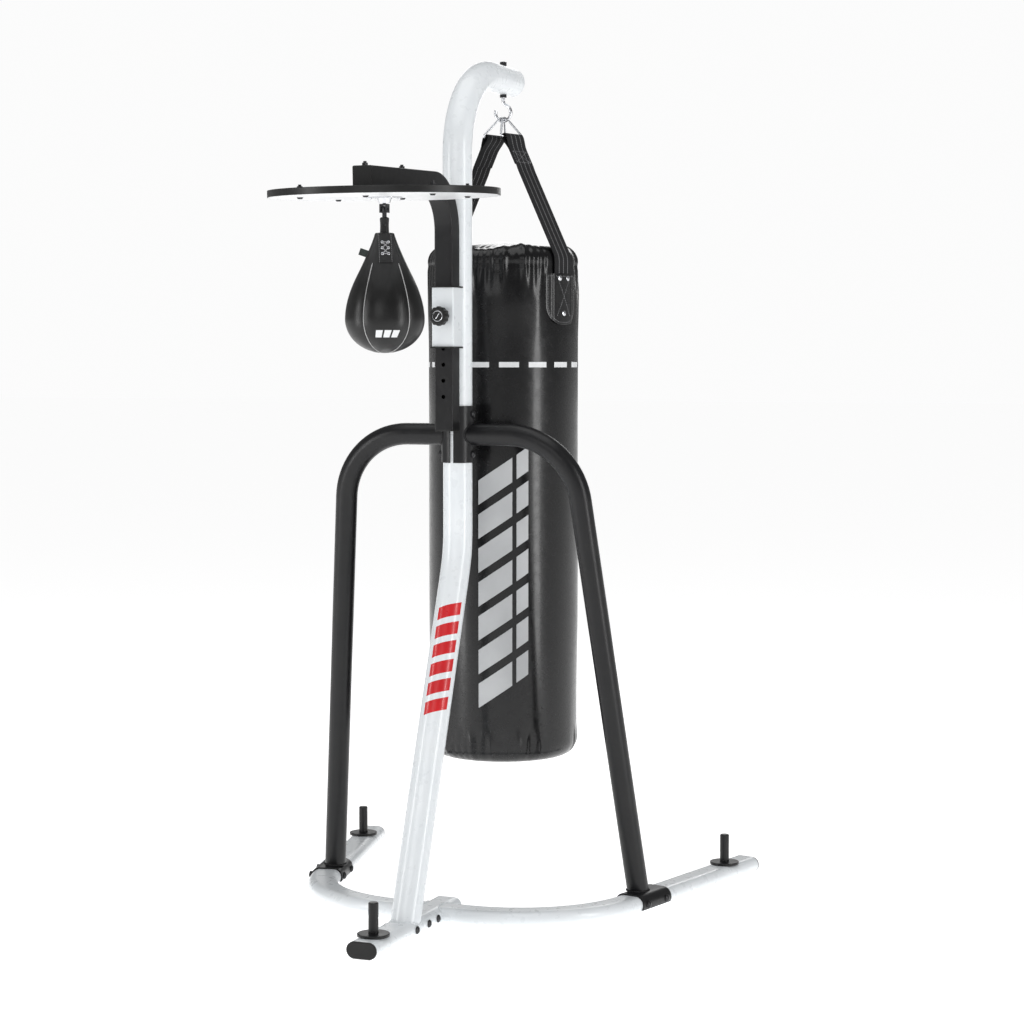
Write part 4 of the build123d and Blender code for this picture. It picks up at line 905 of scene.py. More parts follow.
# ---------------------------------------------------------------- pop pin knob
@dataclass
class PinKnob:
    """Fluted hand knob of the pop pin, with a slotted disc let into its face."""

    radius: float = 25.0 * MM
    bore: float = 12.0 * MM
    lobes: int = 12
    lobe_depth: float = 1.0 * MM
    disc_r: float = 13.0 * MM
    slot_half: float = 9.0 * MM
    slot_tilt: float = math.radians(33.0)

    def build(self) -> None:
        """Make the knob, its ring and its slot bar."""
        low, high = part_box("pin_knob")
        centre = Vector(((low[0] + high[0]) / 2.0, 0.0, (low[2] + high[2]) / 2.0))
        back, face = high[1], low[1]
        depth = back - face

        def place(radius: float, share: float, turn: float) -> Vector:
            """Point of the fluted knob from its radius, its share of the depth and its turn."""
            near_rim = ease((radius - self.radius + 6.0 * MM) / (3.0 * MM))
            reach = radius + self.lobe_depth * near_rim * (math.cos(self.lobes * turn) - 1.0)
            y = back - share * depth
            return centre + Vector((reach * math.cos(turn), y, reach * math.sin(turn)))

        r, disc = self.radius, self.disc_r
        bore = [(4.1 * MM, 0.7), (self.bore, 0.7), (self.bore, 0.02), (self.bore + 1.0 * MM, 0.0)]
        side = [(r - 2.0 * MM, 0.0), (r - 0.6 * MM, 0.03), (r, 0.1), (r, 0.5), (r, 0.78)]
        edge = [(r - 0.7 * MM, 0.88), (r - 2.4 * MM, 0.95), (r - 5.0 * MM, 0.985)]
        dish = [(r - 9.0 * MM, 0.985), (disc + 1.2 * MM, 0.97), (disc, 0.92)]
        outline = bore + side + edge + dish + [(disc - 0.8 * MM, 0.92), (3.0 * MM, 0.925)]
        shell = Shell()
        shell.lathe(outline, place, 144)
        shell.piece("pin_knob_fluted", ["black_plastic"], "pop_pin", ["pin_knob"])
        trim = Shell()
        ring = [
            centre + Vector((self.disc_r * math.cos(t), face + 1.2 * MM, self.disc_r * math.sin(t)))
            for t in turns(72)
        ]
        trim.tube(ring, lambda i: 0.8 * MM, 8, True)
        run = Vector((math.sin(self.slot_tilt), 0.0, math.cos(self.slot_tilt)))
        start = centre + Vector((0.0, face + 1.1 * MM, 0.0))
        bar = [start + run * (self.slot_half * k / 10.0) for k in range(-10, 11)]
        trim.tube(bar, lambda i: 1.3 * MM * math.sqrt(max(0.1, 1.0 - ((i - 10) / 10.5) ** 4)), 10)
        trim.piece("pin_knob_slot", ["bright_zinc"], "pop_pin")


# ---------------------------------------------------------------- heavy bag
@dataclass
class HeavyBag:
    """Sewn heavy bag: gathered cover, printed band and blocks, straps, patches and stitching."""

    radius: float = 202.0 * MM
    low_z: float = 360.0 * MM
    foot_r: float = 45.0 * MM
    rim_z: float = 1695.0 * MM
    top_z: float = 1735.0 * MM
    shoulder_r: float = 40.0 * MM
    yaw: float = math.radians(-17.0)
    steps: int = 360
    dent: float = 1.6 * MM
    pleats: int = 21
    pleat_depth: float = 3.4 * MM
    rim_wave: float = 7.0 * MM
    lid_rise: float = 15.0 * MM
    strap_turn: float = 0.2
    strap_fade: float = 0.22
    facing: float = math.radians(-68.0)
    band_z: float = 1.413
    band_tall: float = 14.0 * MM
    band_blocks: int = 96
    band_pattern: tuple[int, ...] = (0, 0, 0, 1, 1, 0)
    print_low: float = 0.555
    print_high: float = 1.185
    print_rows: int = 7
    print_fill: float = 0.72
    print_half: float = math.radians(19.0)
    print_slant: float = 0.045
    seam_turn: float = math.radians(112.0)
    seam_half: float = 11.0 * MM
    seam_low: float = 0.42
    seam_high: float = 1.66

    def __post_init__(self) -> None:
        """Read the bag's axis from its node."""
        self.axis = middle("bag_cover").to_2d()

    def clear_of_straps(self, turn: float) -> float:
        """0 under a strap and its patch, rising to 1 beside them."""
        gap = abs(math.remainder(turn - self.yaw, math.pi))
        return ease((gap - self.strap_turn) / self.strap_fade)

    def pleat(self, turn: float, z: float) -> float:
        """Height of the gathered folds round the bag.

        Args:
            turn: turn round the bag.
            z: height on the bag.

        Returns:
            About -1 in a crease and 1 on a fold.
        """
        drift = 1.5 * math.sin(3.0 * turn) + 0.9 * math.sin(7.0 * turn + 1.0)
        drift += 9.0 * (z - self.rim_z)
        wide = 1.0 - 2.0 * abs(math.sin(0.5 * (self.pleats * turn + drift)))
        fine = math.sin((2 * self.pleats + 5) * turn - 1.3 * drift)
        return 0.75 * wide + 0.3 * fine

    def swell(self, turn: float, z: float) -> float:
        """How far the side of the cover stands out of a true cylinder.

        Args:
            turn: turn round the bag.
            z: height on the bag.

        Returns:
            The distance, which is below 0 in a hollow.
        """
        c, s = math.cos(turn), math.sin(turn)
        free = self.clear_of_straps(turn)
        high = ease((z - 1.5) / 0.06)
        soft = noise.noise(Vector((1.9 * c, 1.9 * s, 2.6 * z))) * self.dent
        belly = 2.5 * MM * math.exp(-(((z - 1.59) / 0.07) ** 2)) - 1.2 * MM * ease((0.75 - z) / 0.3)
        gather_z = 1.56 + 0.03 * math.sin(5.0 * turn + 2.0 * math.sin(3.0 * turn))
        gather = ease((z - gather_z) / 0.1)
        seam = -1.5 * MM * math.exp(-(((z - 1.684) / 0.008) ** 2)) * free
        crinkle = 1.8 * MM * gather * noise.noise(Vector((9.0 * c, 9.0 * s, 7.0 * z)))
        hang = noise.noise(Vector((5.2 * c, 5.2 * s, 2.0 * z + 3.0)))
        drape = 1.7 * MM * ease((z - 1.44) / 0.12) * hang
        folds = self.pleat_depth * gather * self.pleat(turn, z)
        foot = 2.4 * MM * ease((0.46 - z) / 0.05) * self.pleat(turn + 0.4, z)
        whole = soft + belly + seam + crinkle + drape + folds + foot
        return whole * free + (1.0 - free) * (min(whole, -0.6 * MM) * high + soft * (1.0 - high))

    def on_side(self, turn: float, z: float, height: float) -> Vector:
        """Point at a height off the cover's side."""
        reach = self.radius + self.swell(turn, z) + height
        return Vector((*self.axis, z)) + turned(turn) * reach

    def outline(self) -> list[tuple[float, float, float, float]]:
        """Rings of the plain cover, from the bottom's middle to the lid's.

        Returns:
            Radius, height, and share outwards and upwards of each ring's direction.
        """

        def corner(radius: float, z: float, degrees: Sequence[float]) -> list[tuple[float, ...]]:
            """Rings of a rounded corner."""
            inner = self.radius - radius
            ways = [turned(math.radians(angle)) for angle in degrees]
            return [(inner + radius * way.x, z + radius * way.y, way.x, way.y) for way in ways]

        rings = [(r * MM, self.low_z, 0.0, -1.0) for r in (6, 30, 60, 90, 115, 135, 150)]
        foot_degrees = [-90.0 + 9.0 * k for k in range(11)]
        rings += corner(self.foot_r, self.low_z + self.foot_r, foot_degrees)
        z = self.low_z + self.foot_r + 8.0 * MM
        while z < self.rim_z - 2.0 * MM:
            rings.append((self.radius, z, 1.0, 0.0))
            z += 4.0 * MM if z > 1.57 or z < 0.46 else 15.0 * MM
        rings += corner(self.shoulder_r, self.rim_z, [5.0 * k for k in range(19)])
        lid = (156, 148, 138, 126, 112, 96, 78, 58, 36, 14, 4)
        return rings + [(r * MM, self.top_z, 0.0, 1.0) for r in lid]

    def cover(self) -> None:
        """Make the cover with its gathers, its wavy shoulder and its domed lid."""
        rows: Rows = []
        for r, z, out, up in self.outline():
            row = []
            near_rim = math.exp(-(((r - 0.165) / 0.03) ** 2)) if up > 0.05 else 0.0
            for turn in turns(self.steps):
                free = self.clear_of_straps(turn)
                wave = free * math.sin(5.0 * turn + 1.2 * math.sin(2.0 * turn) + 0.6)
                sink = 0.0
                if up > 0.0:
                    fade = ease((r - 0.05) / 0.11)
                    move = self.swell(turn, self.rim_z) * max(out, 0.25 * fade)
                    crease = 2.6 * MM * fade * self.pleat(turn, z) * free
                    rim = near_rim * (self.rim_wave * wave - 3.0 * MM) * free
                    sink = self.lid_rise * (1.0 - ease(r / 0.15)) + rim + crease * up
                elif out > 0.99:
                    move = self.swell(turn, z)
                else:
                    move = self.swell(turn, self.low_z + self.foot_r) * out
                    sink = -1.5 * MM * ease((0.16 - r) / 0.1)
                row.append(Vector((*self.axis, z + sink)) + turned(turn) * (r + move))
            rows.append(row)
        shell = Shell()
        shell.vessel(rows)
        replaced = ["bag_cover", "bag_filling"]
        made = shell.piece("heavy_bag_cover", ["bag_vinyl"], "heavy_bag", replaced)

    def band(self) -> None:
        """Make the narrow band of light and dark blocks near the top."""
        shell = Shell()
        block = 2.0 * math.pi / self.band_blocks
        for k, start in enumerate(turns(self.band_blocks)):

            def place(u: float, v: float, height: float) -> Vector:
                """Point of this block at a height off the cover."""
                return self.on_side(start + block * u, self.band_z + self.band_tall * v, height)

            mark = self.band_pattern[k % len(self.band_pattern)]
            shell.slab(place, 6, 2, -0.5 * MM, 0.4 * MM, mark)
        shell.piece("heavy_bag_band", ["white_print", "bag_vinyl"], "heavy_bag")

    def blocks(self) -> None:
        """Make the tall column of slanted printed blocks on the side that faces out."""
        pitch = (self.print_high - self.print_low) / self.print_rows
        shell = Shell()
        for k in range(self.print_rows):
            for left, right in ((-1.0, 0.35), (0.52, 1.0)):

                def place(u: float, v: float, height: float) -> Vector:
                    """Point of this block at a height off the cover."""
                    share = left + (right - left) * u
                    z = self.print_low + pitch * (k + v * self.print_fill)
                    turn = self.facing + self.print_half * share
                    return self.on_side(turn, z + self.print_slant * share, height)

                shell.slab(place, 14, 6, -0.5 * MM, 0.35 * MM)
        shell.piece("heavy_bag_print", ["silver_print"], "heavy_bag")

    def seam(self) -> None:
        """Make the lapped closing seam on the far side, with two rows of stitches."""
        shell = Shell()

        def place(u: float, v: float, height: float) -> Vector:
            """Point of the lap at a height off the cover, thinner towards its edges."""
            thin = 0.4 + 0.6 * math.sin(math.pi * min(max(u, 0.06), 0.94))
            lift = height * thin if height > 0.0 else height
            turn = self.seam_turn + self.seam_half * (2.0 * u - 1.0) / self.radius
            return self.on_side(turn, self.seam_low + (self.seam_high - self.seam_low) * v, lift)

        shell.slab(place, 8, 150, -0.6 * MM, 1.4 * MM)
        for side in (0.22, 0.78):
            row = [place(side, share, 1.5 * MM) for share in shares(120)]
            shell.stitches(row, 5.0 * MM, 8.0 * MM, mark=1)
        shell.piece("heavy_bag_seam", ["bag_vinyl", "thread"], "heavy_bag")

    def build(self) -> None:
        """Make the whole bag."""
        self.cover()
        self.band()
        self.blocks()
        self.seam()
        for side, sign in (("left", -1), ("right", 1)):
            BagStrap(self, side, sign).build()
            BagPatch(self, side, sign).build()


@dataclass
class BagStrap:
    """One webbing strap: up the bag's side, over its shoulder, round the ring and sewn back."""

    bag: HeavyBag
    side: str
    sign: int
    width: float = 73.0 * MM
    thick: float = 2.5 * MM
    end_z: float = 1552.0 * MM
    lean: float = math.radians(27.907)
    bar_out: float = 31.88 * MM
    bar_z: float = 2030.0 * MM
    loop_r: float = 8.3 * MM
    ply: float = 1.4 * MM
    loop_drop: float = 40.0 * MM
    sewn_low: float = 84.0 * MM
    sewn_high: float = 44.0 * MM

    def __post_init__(self) -> None:
        """Find the strap's directions and its line."""
        self.out = turned(self.bag.yaw) * self.sign
        self.across = Vector((-math.sin(self.bag.yaw), math.cos(self.bag.yaw), 0.0))
        self.up = Vector((0.0, 0.0, 1.0))
        self.origin = Vector((*self.bag.axis, 0.0))
        self.lie = self.bag.shoulder_r + 1.8 * MM
        self.rise = self.up * math.cos(self.lean) - self.out * math.sin(self.lean)
        self.normal = self.out * math.cos(self.lean) + self.up * math.sin(self.lean)
        self.bar = self.origin + self.out * self.bar_out + self.up * self.bar_z

    def spread(self, below: float) -> float:
        """How far each ply lies from the strap's middle line, at a distance below the bar."""
        sewn = self.ply * ease((self.sewn_low + 22.0 * MM - below) / (20.0 * MM))
        return sewn + (self.loop_r - self.ply) * ease((self.loop_drop - below) / self.loop_drop)

    def run(self) -> list[tuple[Vector, Vector]]:
        """Line of the strap, from its lower end to its hem.

        Returns:
            Each point with the direction out of the strap's face.
        """
        inner = self.bag.radius - self.bag.shoulder_r
        pivot = self.origin + self.out * inner + self.up * self.bag.rim_z
        side = self.origin + self.out * (inner + self.lie)
        climb = self.bag.rim_z - self.end_z
        points = [(side + self.up * (self.end_z + climb * k / 16.0), self.out) for k in range(16)]
        for share in shares(8):
            t = self.lean * share
            normal = self.out * math.cos(t) + self.up * math.sin(t)
            points.append((pivot + normal * self.lie, normal))
        length = (self.bar - points[-1][0]).length
        belows = [length * (1.0 - k / 40.0) for k in range(1, 36)]
        belows += [self.loop_drop * (1.0 - k / 8.0) for k in range(1, 8)]
        for b in sorted({round(below, 6) for below in belows}, reverse=True):
            points.append((self.bar - self.rise * b + self.normal * self.spread(b), self.normal))
        for share in shares(12):
            t = math.pi * share
            normal = self.normal * math.cos(t) + self.rise * math.sin(t)
            points.append((self.bar + normal * self.loop_r, normal))
        hem = self.sewn_low - self.loop_drop
        downs = [self.loop_drop * k / 8.0 for k in range(1, 9)]
        downs += [self.loop_drop + hem * k / 6.0 for k in range(1, 7)]
        for b in downs:
            points.append((self.bar - self.rise * b - self.normal * self.spread(b), -self.normal))
        return points

    def build(self) -> None:
        """Make the strap and its box of cross stitches under the ring."""
        half, t = self.width / 2.0, self.thick / 2.0
        edge = [(-1.0, 0.0), (-0.985, 0.8), (-0.93, 1.0), (-0.5, 1.0)]
        face = edge + [(0.0, 1.0)] + [(-x, y) for x, y in edge[:0:-1]]
        section = face + [(-x, -y) for x, y in face]
        rows, uvs, done = [], [], 0.0
        previous: Optional[Vector] = None
        for point, normal in self.run():
            done += (point - previous).length if previous else 0.0
            previous = point
            rows.append([point + self.across * (half * x) + normal * (t * y) for x, y in section])
            uvs.append([(0.5 + 0.5 * x, done) for x, y in section])
        shell = Shell()
        right = self.sign > 0
        rings = shell.grid(rows, True, uvs=uvs, flip=right)
        shell.add(tuple(rings[0]), 0, not right)
        shell.add(tuple(rings[-1]), 0, right)
        name = f"{self.side}_strap_webbing"
        made = shell.piece(name, ["webbing"], "heavy_bag", [f"{self.side}_strap"])
        LOG.info("%s is cut %.0f mm long", name, done / MM)
        thread = Shell()
        lift = self.ply + t + 0.15 * MM
        margin = half - 7.0 * MM
        low, high = self.sewn_low - 4.0 * MM, self.sewn_high + 2.0 * MM

        def spot(x: float, below: float) -> Vector:
            """Point on the strap's face, aside from its middle and below the bar."""
            return self.bar - self.rise * below + self.normal * lift + self.across * x

        corners = [spot(-margin, low), spot(margin, low), spot(margin, high), spot(-margin, high)]
        for a, b in ((0, 1), (1, 2), (2, 3), (3, 0), (0, 2), (1, 3)):
            thread.stitches([corners[a].lerp(corners[b], share) for share in shares(8)])
        thread.piece(f"{self.side}_strap_stitching", ["thread"], "heavy_bag")


@dataclass
class BagPatch:
    """One rounded patch that covers a strap's lower end, with its border and cross stitching."""

    bag: HeavyBag
    side: str
    sign: int
    half: float = 62.0 * MM
    low_z: float = 1526.0 * MM
    high_z: float = 1660.0 * MM
    corner: float = 54.0 * MM
    over: float = 207.3 * MM
    beside: float = 204.4 * MM
    cross_half: float = 27.0 * MM
    cross_low: float = 22.0 * MM
    thick: float = 1.7 * MM

    def __post_init__(self) -> None:
        """Find the patch's direction."""
        self.turn = self.bag.yaw + (0.0 if self.sign > 0 else math.pi)

    def half_at(self, z: float, inset: float = 0.0) -> float:
        """Half width of the patch.

        Args:
            z: height.
            inset: how far inside the patch's edge.

        Returns:
            The half width.
        """
        half, corner, low = self.half - inset, self.corner - inset, self.low_z + inset
        if z >= low + corner:
            return half
        drop = min(corner, low + corner - z)
        return half - corner + math.sqrt(max(0.0, corner**2 - drop**2))

    def at(self, aside: float, z: float, height: float) -> Vector:
        """Point off the patch's face.

        Args:
            aside: distance round the bag from the patch's middle.
            z: height on the bag.
            height: distance off the face.

        Returns:
            The point.
        """
        drop = ease((abs(aside) - 36.0 * MM) / (9.0 * MM))
        reach = self.over + (self.beside - self.over) * drop + height
        return Vector((*self.bag.axis, z)) + turned(self.turn + aside / self.bag.radius) * reach

    def build(self) -> None:
        """Make the patch and its stitches."""

        def place(u: float, v: float, height: float) -> Vector:
            """Point of the patch at a height off its face, softer at its edges."""
            z = self.low_z + (self.high_z - self.low_z) * v**1.4
            half = self.half_at(z)
            edge = min(u, 1.0 - u, v, 1.0 - v)
            soft = 0.5 * MM * (1.0 - ease(edge / 0.03)) if height > -0.5 * self.thick else 0.0
            return self.at(half * (2.0 * u - 1.0), z, height - soft)

        shell = Shell()
        shell.slab(place, 44, 44, -self.thick, 0.0)
        inset = 6.0 * MM
        border = [self.at(-self.half_at(z, inset), z, 0.1 * MM) for z in self.heights(inset)][::-1]
        border += [self.at(self.half_at(z, inset), z, 0.1 * MM) for z in self.heights(inset)]
        top = self.high_z - inset
        wide = self.half - inset
        border += [self.at(wide * (1.0 - 2.0 * share), top, 0.1 * MM) for share in shares(20)[1:]]
        shell.stitches(border, mark=1)
        drop = self.low_z + self.cross_low - top
        for reach in (-self.cross_half, self.cross_half):
            shell.stitches(
                [self.at(reach * (1.0 - 2.0 * k), top + drop * k, 0.1 * MM) for k in shares(24)],
                mark=1,
            )
        name = f"{self.side}_strap_patch"
        replaced = ["strap_patches"] if self.sign > 0 else []
        shell.piece(name, ["patch_vinyl", "thread"], "heavy_bag", replaced)

    def heights(self, inset: float) -> list[float]:
        """Heights of the border's points, from the rounded bottom to the top."""
        low, high = self.low_z + inset, self.high_z - inset
        return [low + (high - low) * share**1.8 for share in shares(40)]


# ---------------------------------------------------------------- speed bag
@dataclass
class SpeedBag:
    """Drop-shaped leather speed bag: crowned panels, piping, laced neck, tab and tag."""

    radius: float = 94.0 * MM
    widest_z: float = 1529.0 * MM
    low_z: float = 1448.0 * MM
    top_z: float = 1735.0 * MM
    neck_r: float = 22.5 * MM
    neck_slope: float = 0.3
    bowl_share: float = 0.3
    panels: int = 5
    facing: float = math.radians(-62.0)
    crown: float = 2.4 * MM
    steps: int = 240
    pipe_r: float = 1.1 * MM
    patch_drop: float = 72.0 * MM
    patch_half: float = 18.0 * MM

    def __post_init__(self) -> None:
        """Read the bag's axis from its node."""
        self.axis = middle("speed_bag_shell").to_2d()

    def profile(self, share: float) -> tuple[float, float]:
        """Outline of the plain drop: an elliptical bowl and a curve up to the neck.

        Args:
            share: 0 at the bottom, bowl_share where it is widest and 1 at the neck.

        Returns:
            Radius and height.
        """
        if share < self.bowl_share:
            t = math.radians(-90.0 + 90.0 * share / self.bowl_share)
            bowl = self.widest_z - self.low_z
            return self.radius * math.cos(t), self.widest_z + bowl * math.sin(t)
        t = (share - self.bowl_share) / (1.0 - self.bowl_share)
        chord = math.hypot(self.radius - self.neck_r, self.top_z - self.widest_z)
        pull = chord / math.hypot(1.0, self.neck_slope)
        a, b = 2 * t**3 - 3 * t**2 + 1, t**3 - 2 * t**2 + t
        c, d = -2 * t**3 + 3 * t**2, t**3 - t**2
        radius = a * self.radius + c * self.neck_r - d * pull * self.neck_slope
        return radius, a * self.widest_z + b * chord + c * self.top_z + d * pull

    def on_bag(self, turn: float, share: float, height: float) -> Vector:
        """Point off the crowned and wrinkled leather.

        Args:
            turn: turn round the bag.
            share: place on the drop's outline.
            height: distance off the leather.

        Returns:
            The point.
        """
        radius, z = self.profile(share)
        half = math.pi / self.panels
        gap = abs(math.remainder(turn - self.facing, 2.0 * half)) / half
        full = ease(share / 0.1) * ease((0.8 - share) / 0.3)
        rise = self.crown * (1.0 - gap**2.5 * 1.5) * full
        wave = math.sin(11.0 * turn + 3.0 * math.sin(2.0 * turn))
        wrinkle = 0.9 * MM * ease((share - 0.62) / 0.25) * wave
        soft = 0.5 * MM * noise.noise(Vector((3.0 * math.cos(turn), 3.0 * math.sin(turn), 9.0 * z)))
        reach = max(0.5 * MM, radius + rise + wrinkle + soft + height)
        return Vector((*self.axis, z)) + turned(turn) * reach

    def skin(self) -> None:
        """Make the sewn leather body with its rolled neck."""
        ring = turns(self.steps)
        low, high = 0.003, 0.997
        rows = [[self.on_bag(t, low + (high - low) * k, 0.0) for t in ring] for k in shares(130)]
        for inset, lift in ((1.2, 1.4), (4.0, 2.0), (7.5, 0.2), (14.0, -1.0)):
            up = Vector((0.0, 0.0, lift * MM))
            rows.append([self.on_bag(t, high, -inset * MM) + up for t in ring])
        shell = Shell()
        shell.vessel(rows)
        replaced = ["speed_bag_shell", "speed_bag_bladder"]
        made = self.leather(shell, "speed_bag_leather", "speed_bag_leather", replaced)

    def leather(
        self, shell: Shell, name: str, finish: str, replaced: Sequence[str] = ()
    ) -> bpy.types.Object:
        """Make a piece of one finish that moves with the bag.

        Args:
            shell: its faces.
            name: its name.
            finish: its finish.
            replaced: nodes that it stands for.

        Returns:
            The object.
        """
        return shell.piece(name, [finish], "speed_bag", replaced)

    def piping(self) -> None:
        """Make the light piping in every seam between panels."""
        shell = Shell()
        for k in range(self.panels):
            turn = self.facing + 2.0 * math.pi * (k + 0.5) / self.panels
            lift = 0.3 * self.pipe_r
            path = [self.on_bag(turn, 0.03 + 0.72 * share, lift) for share in shares(90)]
            shell.tube(path, lambda i: self.pipe_r * (1.0 if 1 < i < 89 else 0.5), 8)
        self.leather(shell, "speed_bag_piping", "piping")

    def share_at(self, drop: float) -> float:
        """Find a place on the outline by its height.

        Args:
            drop: distance below the neck's top.

        Returns:
            The share of the outline.
        """
        low, high = self.bowl_share, 1.0
        for _ in range(30):
            mid = (low + high) / 2.0
            if self.profile(mid)[1] < self.top_z - drop:
                low = mid
            else:
                high = mid
        return low

    def on_patch(self, aside: float, drop: float, height: float) -> Vector:
        """Point off the lacing patch.

        Args:
            aside: distance from the patch's middle.
            drop: distance below the neck's top.
            height: distance off the leather.

        Returns:
            The point.
        """
        share = self.share_at(drop)
        reach = max(self.profile(share)[0], self.neck_r)
        return self.on_bag(self.facing + aside / reach, share, height)

    def lacing(self) -> None:
        """Make the neck's patch, its eyelets and its crossed lace."""
        shell = Shell()

        def place(u: float, v: float, height: float) -> Vector:
            """Point of the patch at a height off the leather."""
            drop = 3.0 * MM + (self.patch_drop - 3.0 * MM) * v
            return self.on_patch(self.patch_half * (2.0 * u - 1.0), drop, height)

        shell.slab(lambda u, v, h: place(1.0 - u, v, h), 16, 26, -1.0 * MM, 1.6 * MM)
        for side in (0.1, 0.9):
            row = [place(side, share, 1.7 * MM) for share in shares(24)]
            shell.stitches(row, 3.4 * MM, 5.0 * MM, 0.45 * MM, 1)
        finishes = ["speed_bag_leather", "thread"]
        shell.piece("speed_bag_lace_patch", finishes, "speed_bag")
        metal, lace = Shell(), Shell()
        half, r, drops = 7.0 * MM, 2.6 * MM, (22.0 * MM, 36.0 * MM, 50.0 * MM)
        for drop in drops:
            for sign in (-1.0, 1.0):
                ring = [
                    self.on_patch(sign * half + r * math.cos(t), drop + r * math.sin(t), 2.0 * MM)
                    for t in turns(24)
                ]
                metal.tube(ring, lambda i: 0.8 * MM, 8, True)
        self.leather(metal, "speed_bag_eyelets", "bright_zinc")
        for first, second in zip(drops, drops[1:]):
            for sign in (-1.0, 1.0):
                arch = 3.0 if sign > 0 else 1.8
                path = [
                    self.on_patch(
                        sign * half * (1.0 - 2.0 * k),
                        first + (second - first) * k,
                        (1.0 + arch * math.sin(math.pi * k)) * MM,
                    )
                    for k in shares(14)
                ]
                lace.tube(path, lambda i: 1.2 * MM, 8)
        for drop in (drops[0], drops[-1]):
            bulge = [(k, (1.0 + 1.4 * math.sin(math.pi * k)) * MM) for k in shares(12)]
            path = [self.on_patch(half * (2.0 * k - 1.0), drop, lift) for k, lift in bulge]
            lace.tube(path, lambda i: 1.2 * MM, 8)
        self.leather(lace, "speed_bag_lace", "thread")

    def tab(self) -> None:
        """Make the leather tab that joins the neck to the swivel's link, and its two rivets."""
        low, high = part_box("speed_bag_loop")
        start, end = low[2] - 6.0 * MM, high[2] + 3.0 * MM
        shell = Shell()
        rows: Rows = []
        for share in shares(24):
            z = start + (end - start) * share
            close = math.sqrt(max(0.06, 1.0 - (2.0 * share - 1.0) ** 12))
            wide = (12.0 - 1.6 * math.sin(math.pi * share)) * MM * close
            deep = (6.2 - 1.1 * math.sin(math.pi * share)) * MM * close
            row = []
            for t in turns(40):
                x = math.copysign(abs(math.cos(t)) ** 0.4, math.cos(t)) * wide
                y = math.copysign(abs(math.sin(t)) ** 0.55, math.sin(t)) * deep
                row.append(Vector((self.axis[0] + x, self.axis[1] + y, z)))
            rows.append(row)
        shell.vessel(rows)
        self.leather(shell, "speed_bag_tab", "speed_bag_leather", ["speed_bag_loop"])
        rivets = Shell()
        for x in (-5.5, 5.5):
            spot = Vector((self.axis[0] + x * MM, self.axis[1], (start + end) / 2.0 + 3.0 * MM))
            for sign in (-1.0, 1.0):

                def place(r: float, d: float, t: float) -> Vector:
                    """Point of this rivet's head from its radius, its depth and its turn."""
                    return spot + Vector((-sign * r * math.cos(t), sign * d, r * math.sin(t)))

                dome = [(2.6, 4.0), (2.6, 5.6), (2.3, 6.0), (1.5, 6.5), (0.4, 6.7)]
                rivets.lathe([(r * MM, d * MM) for r, d in dome], place, 20)
        self.leather(rivets, "speed_bag_tab_rivets", "black_fastener")

    def trim(self) -> None:
        """Make the printed mark on the front panel and the cloth tag in a side seam."""
        mark = Shell()
        rise = 0.19
        for left, right in ((-0.31, -0.13), (-0.08, 0.1), (0.15, 0.33)):

            def place(u: float, v: float, height: float) -> Vector:
                """Point of this block at a height off the leather."""
                turn = self.facing + left + (right - left) * u + 0.05 * (v - 0.5)
                return self.on_bag(turn, rise + 0.045 * v, height)

            mark.slab(place, 8, 4, -0.5 * MM, 0.3 * MM)
        self.leather(mark, "speed_bag_print", "white_print")
        tag = Shell()
        turn, share = self.facing - math.pi * 0.53, self.share_at(50.0 * MM)
        root = self.on_bag(turn, share, -2.0 * MM)
        out = (turned(turn) + Vector((0.0, 0.0, 0.35))).normalized()
        tall = out.cross(turned(turn + math.pi / 2.0)).normalized()
        face = out.cross(tall)

        def flap(u: float, v: float, height: float) -> Vector:
            """Point of the curled tag at a height off its middle plane."""
            bend = 1.5 * MM * math.sin(math.pi * u * 0.8)
            flat = root + out * (22.0 * MM * u) + tall * (17.0 * MM * (v - 0.5))
            return flat + face * (bend + height)

        tag.slab(flap, 12, 10, -0.5 * MM, 0.5 * MM)
        ring = [
            flap(0.55 + 0.2 * math.cos(t), 0.5 + 0.26 * math.sin(t), 0.7 * MM) for t in turns(28)
        ]
        tag.tube(ring, lambda i: 0.45 * MM, 6, True, 1)
        tag.piece("speed_bag_tag", ["tag_cloth", "thread"], "speed_bag")

    def build(self) -> None:
        """Make the whole speed bag."""
        self.skin()
        self.piping()
        self.lacing()
        self.tab()
        self.trim()


# ---------------------------------------------------------------- studio
@dataclass(frozen=True)
class Lamp:
    """One soft rectangular lamp, in metres and watts."""

    name: str
    place: Triple
    size: tuple[float, float]
    power: float
    aim: Triple = (0.0, 0.1, 1.15)

    def hang(self) -> None:
        """Make the lamp and turn it to its aim."""
        data = bpy.data.lights.new(self.name, "AREA")
        data.shape = "RECTANGLE"
        data.size, data.size_y = self.size
        data.energy = self.power
        lamp = bpy.data.objects.new(self.name, data)
        lamp.location = self.place
        heading = Vector(self.aim) - Vector(self.place)
        lamp.rotation_euler = heading.to_track_quat("-Z", "Y").to_euler()
        bpy.context.scene.collection.objects.link(lamp)


LAMPS = (
    Lamp("overhead", (0.0, -1.0, 5.2), (4.5, 4.5), 95.0, (0.0, 0.0, 1.0)),
    Lamp("left_strip", (-3.6, -3.4, 1.6), (0.8, 3.4), 62.0),
    Lamp("right_strip", (4.6, -0.9, 1.6), (0.8, 3.4), 66.0),
    Lamp("front_fill", (0.6, -6.5, 3.2), (3.5, 2.0), 40.0),
    Lamp("rear_fill", (-1.5, 5.5, 3.0), (3.5, 2.5), 55.0),
)


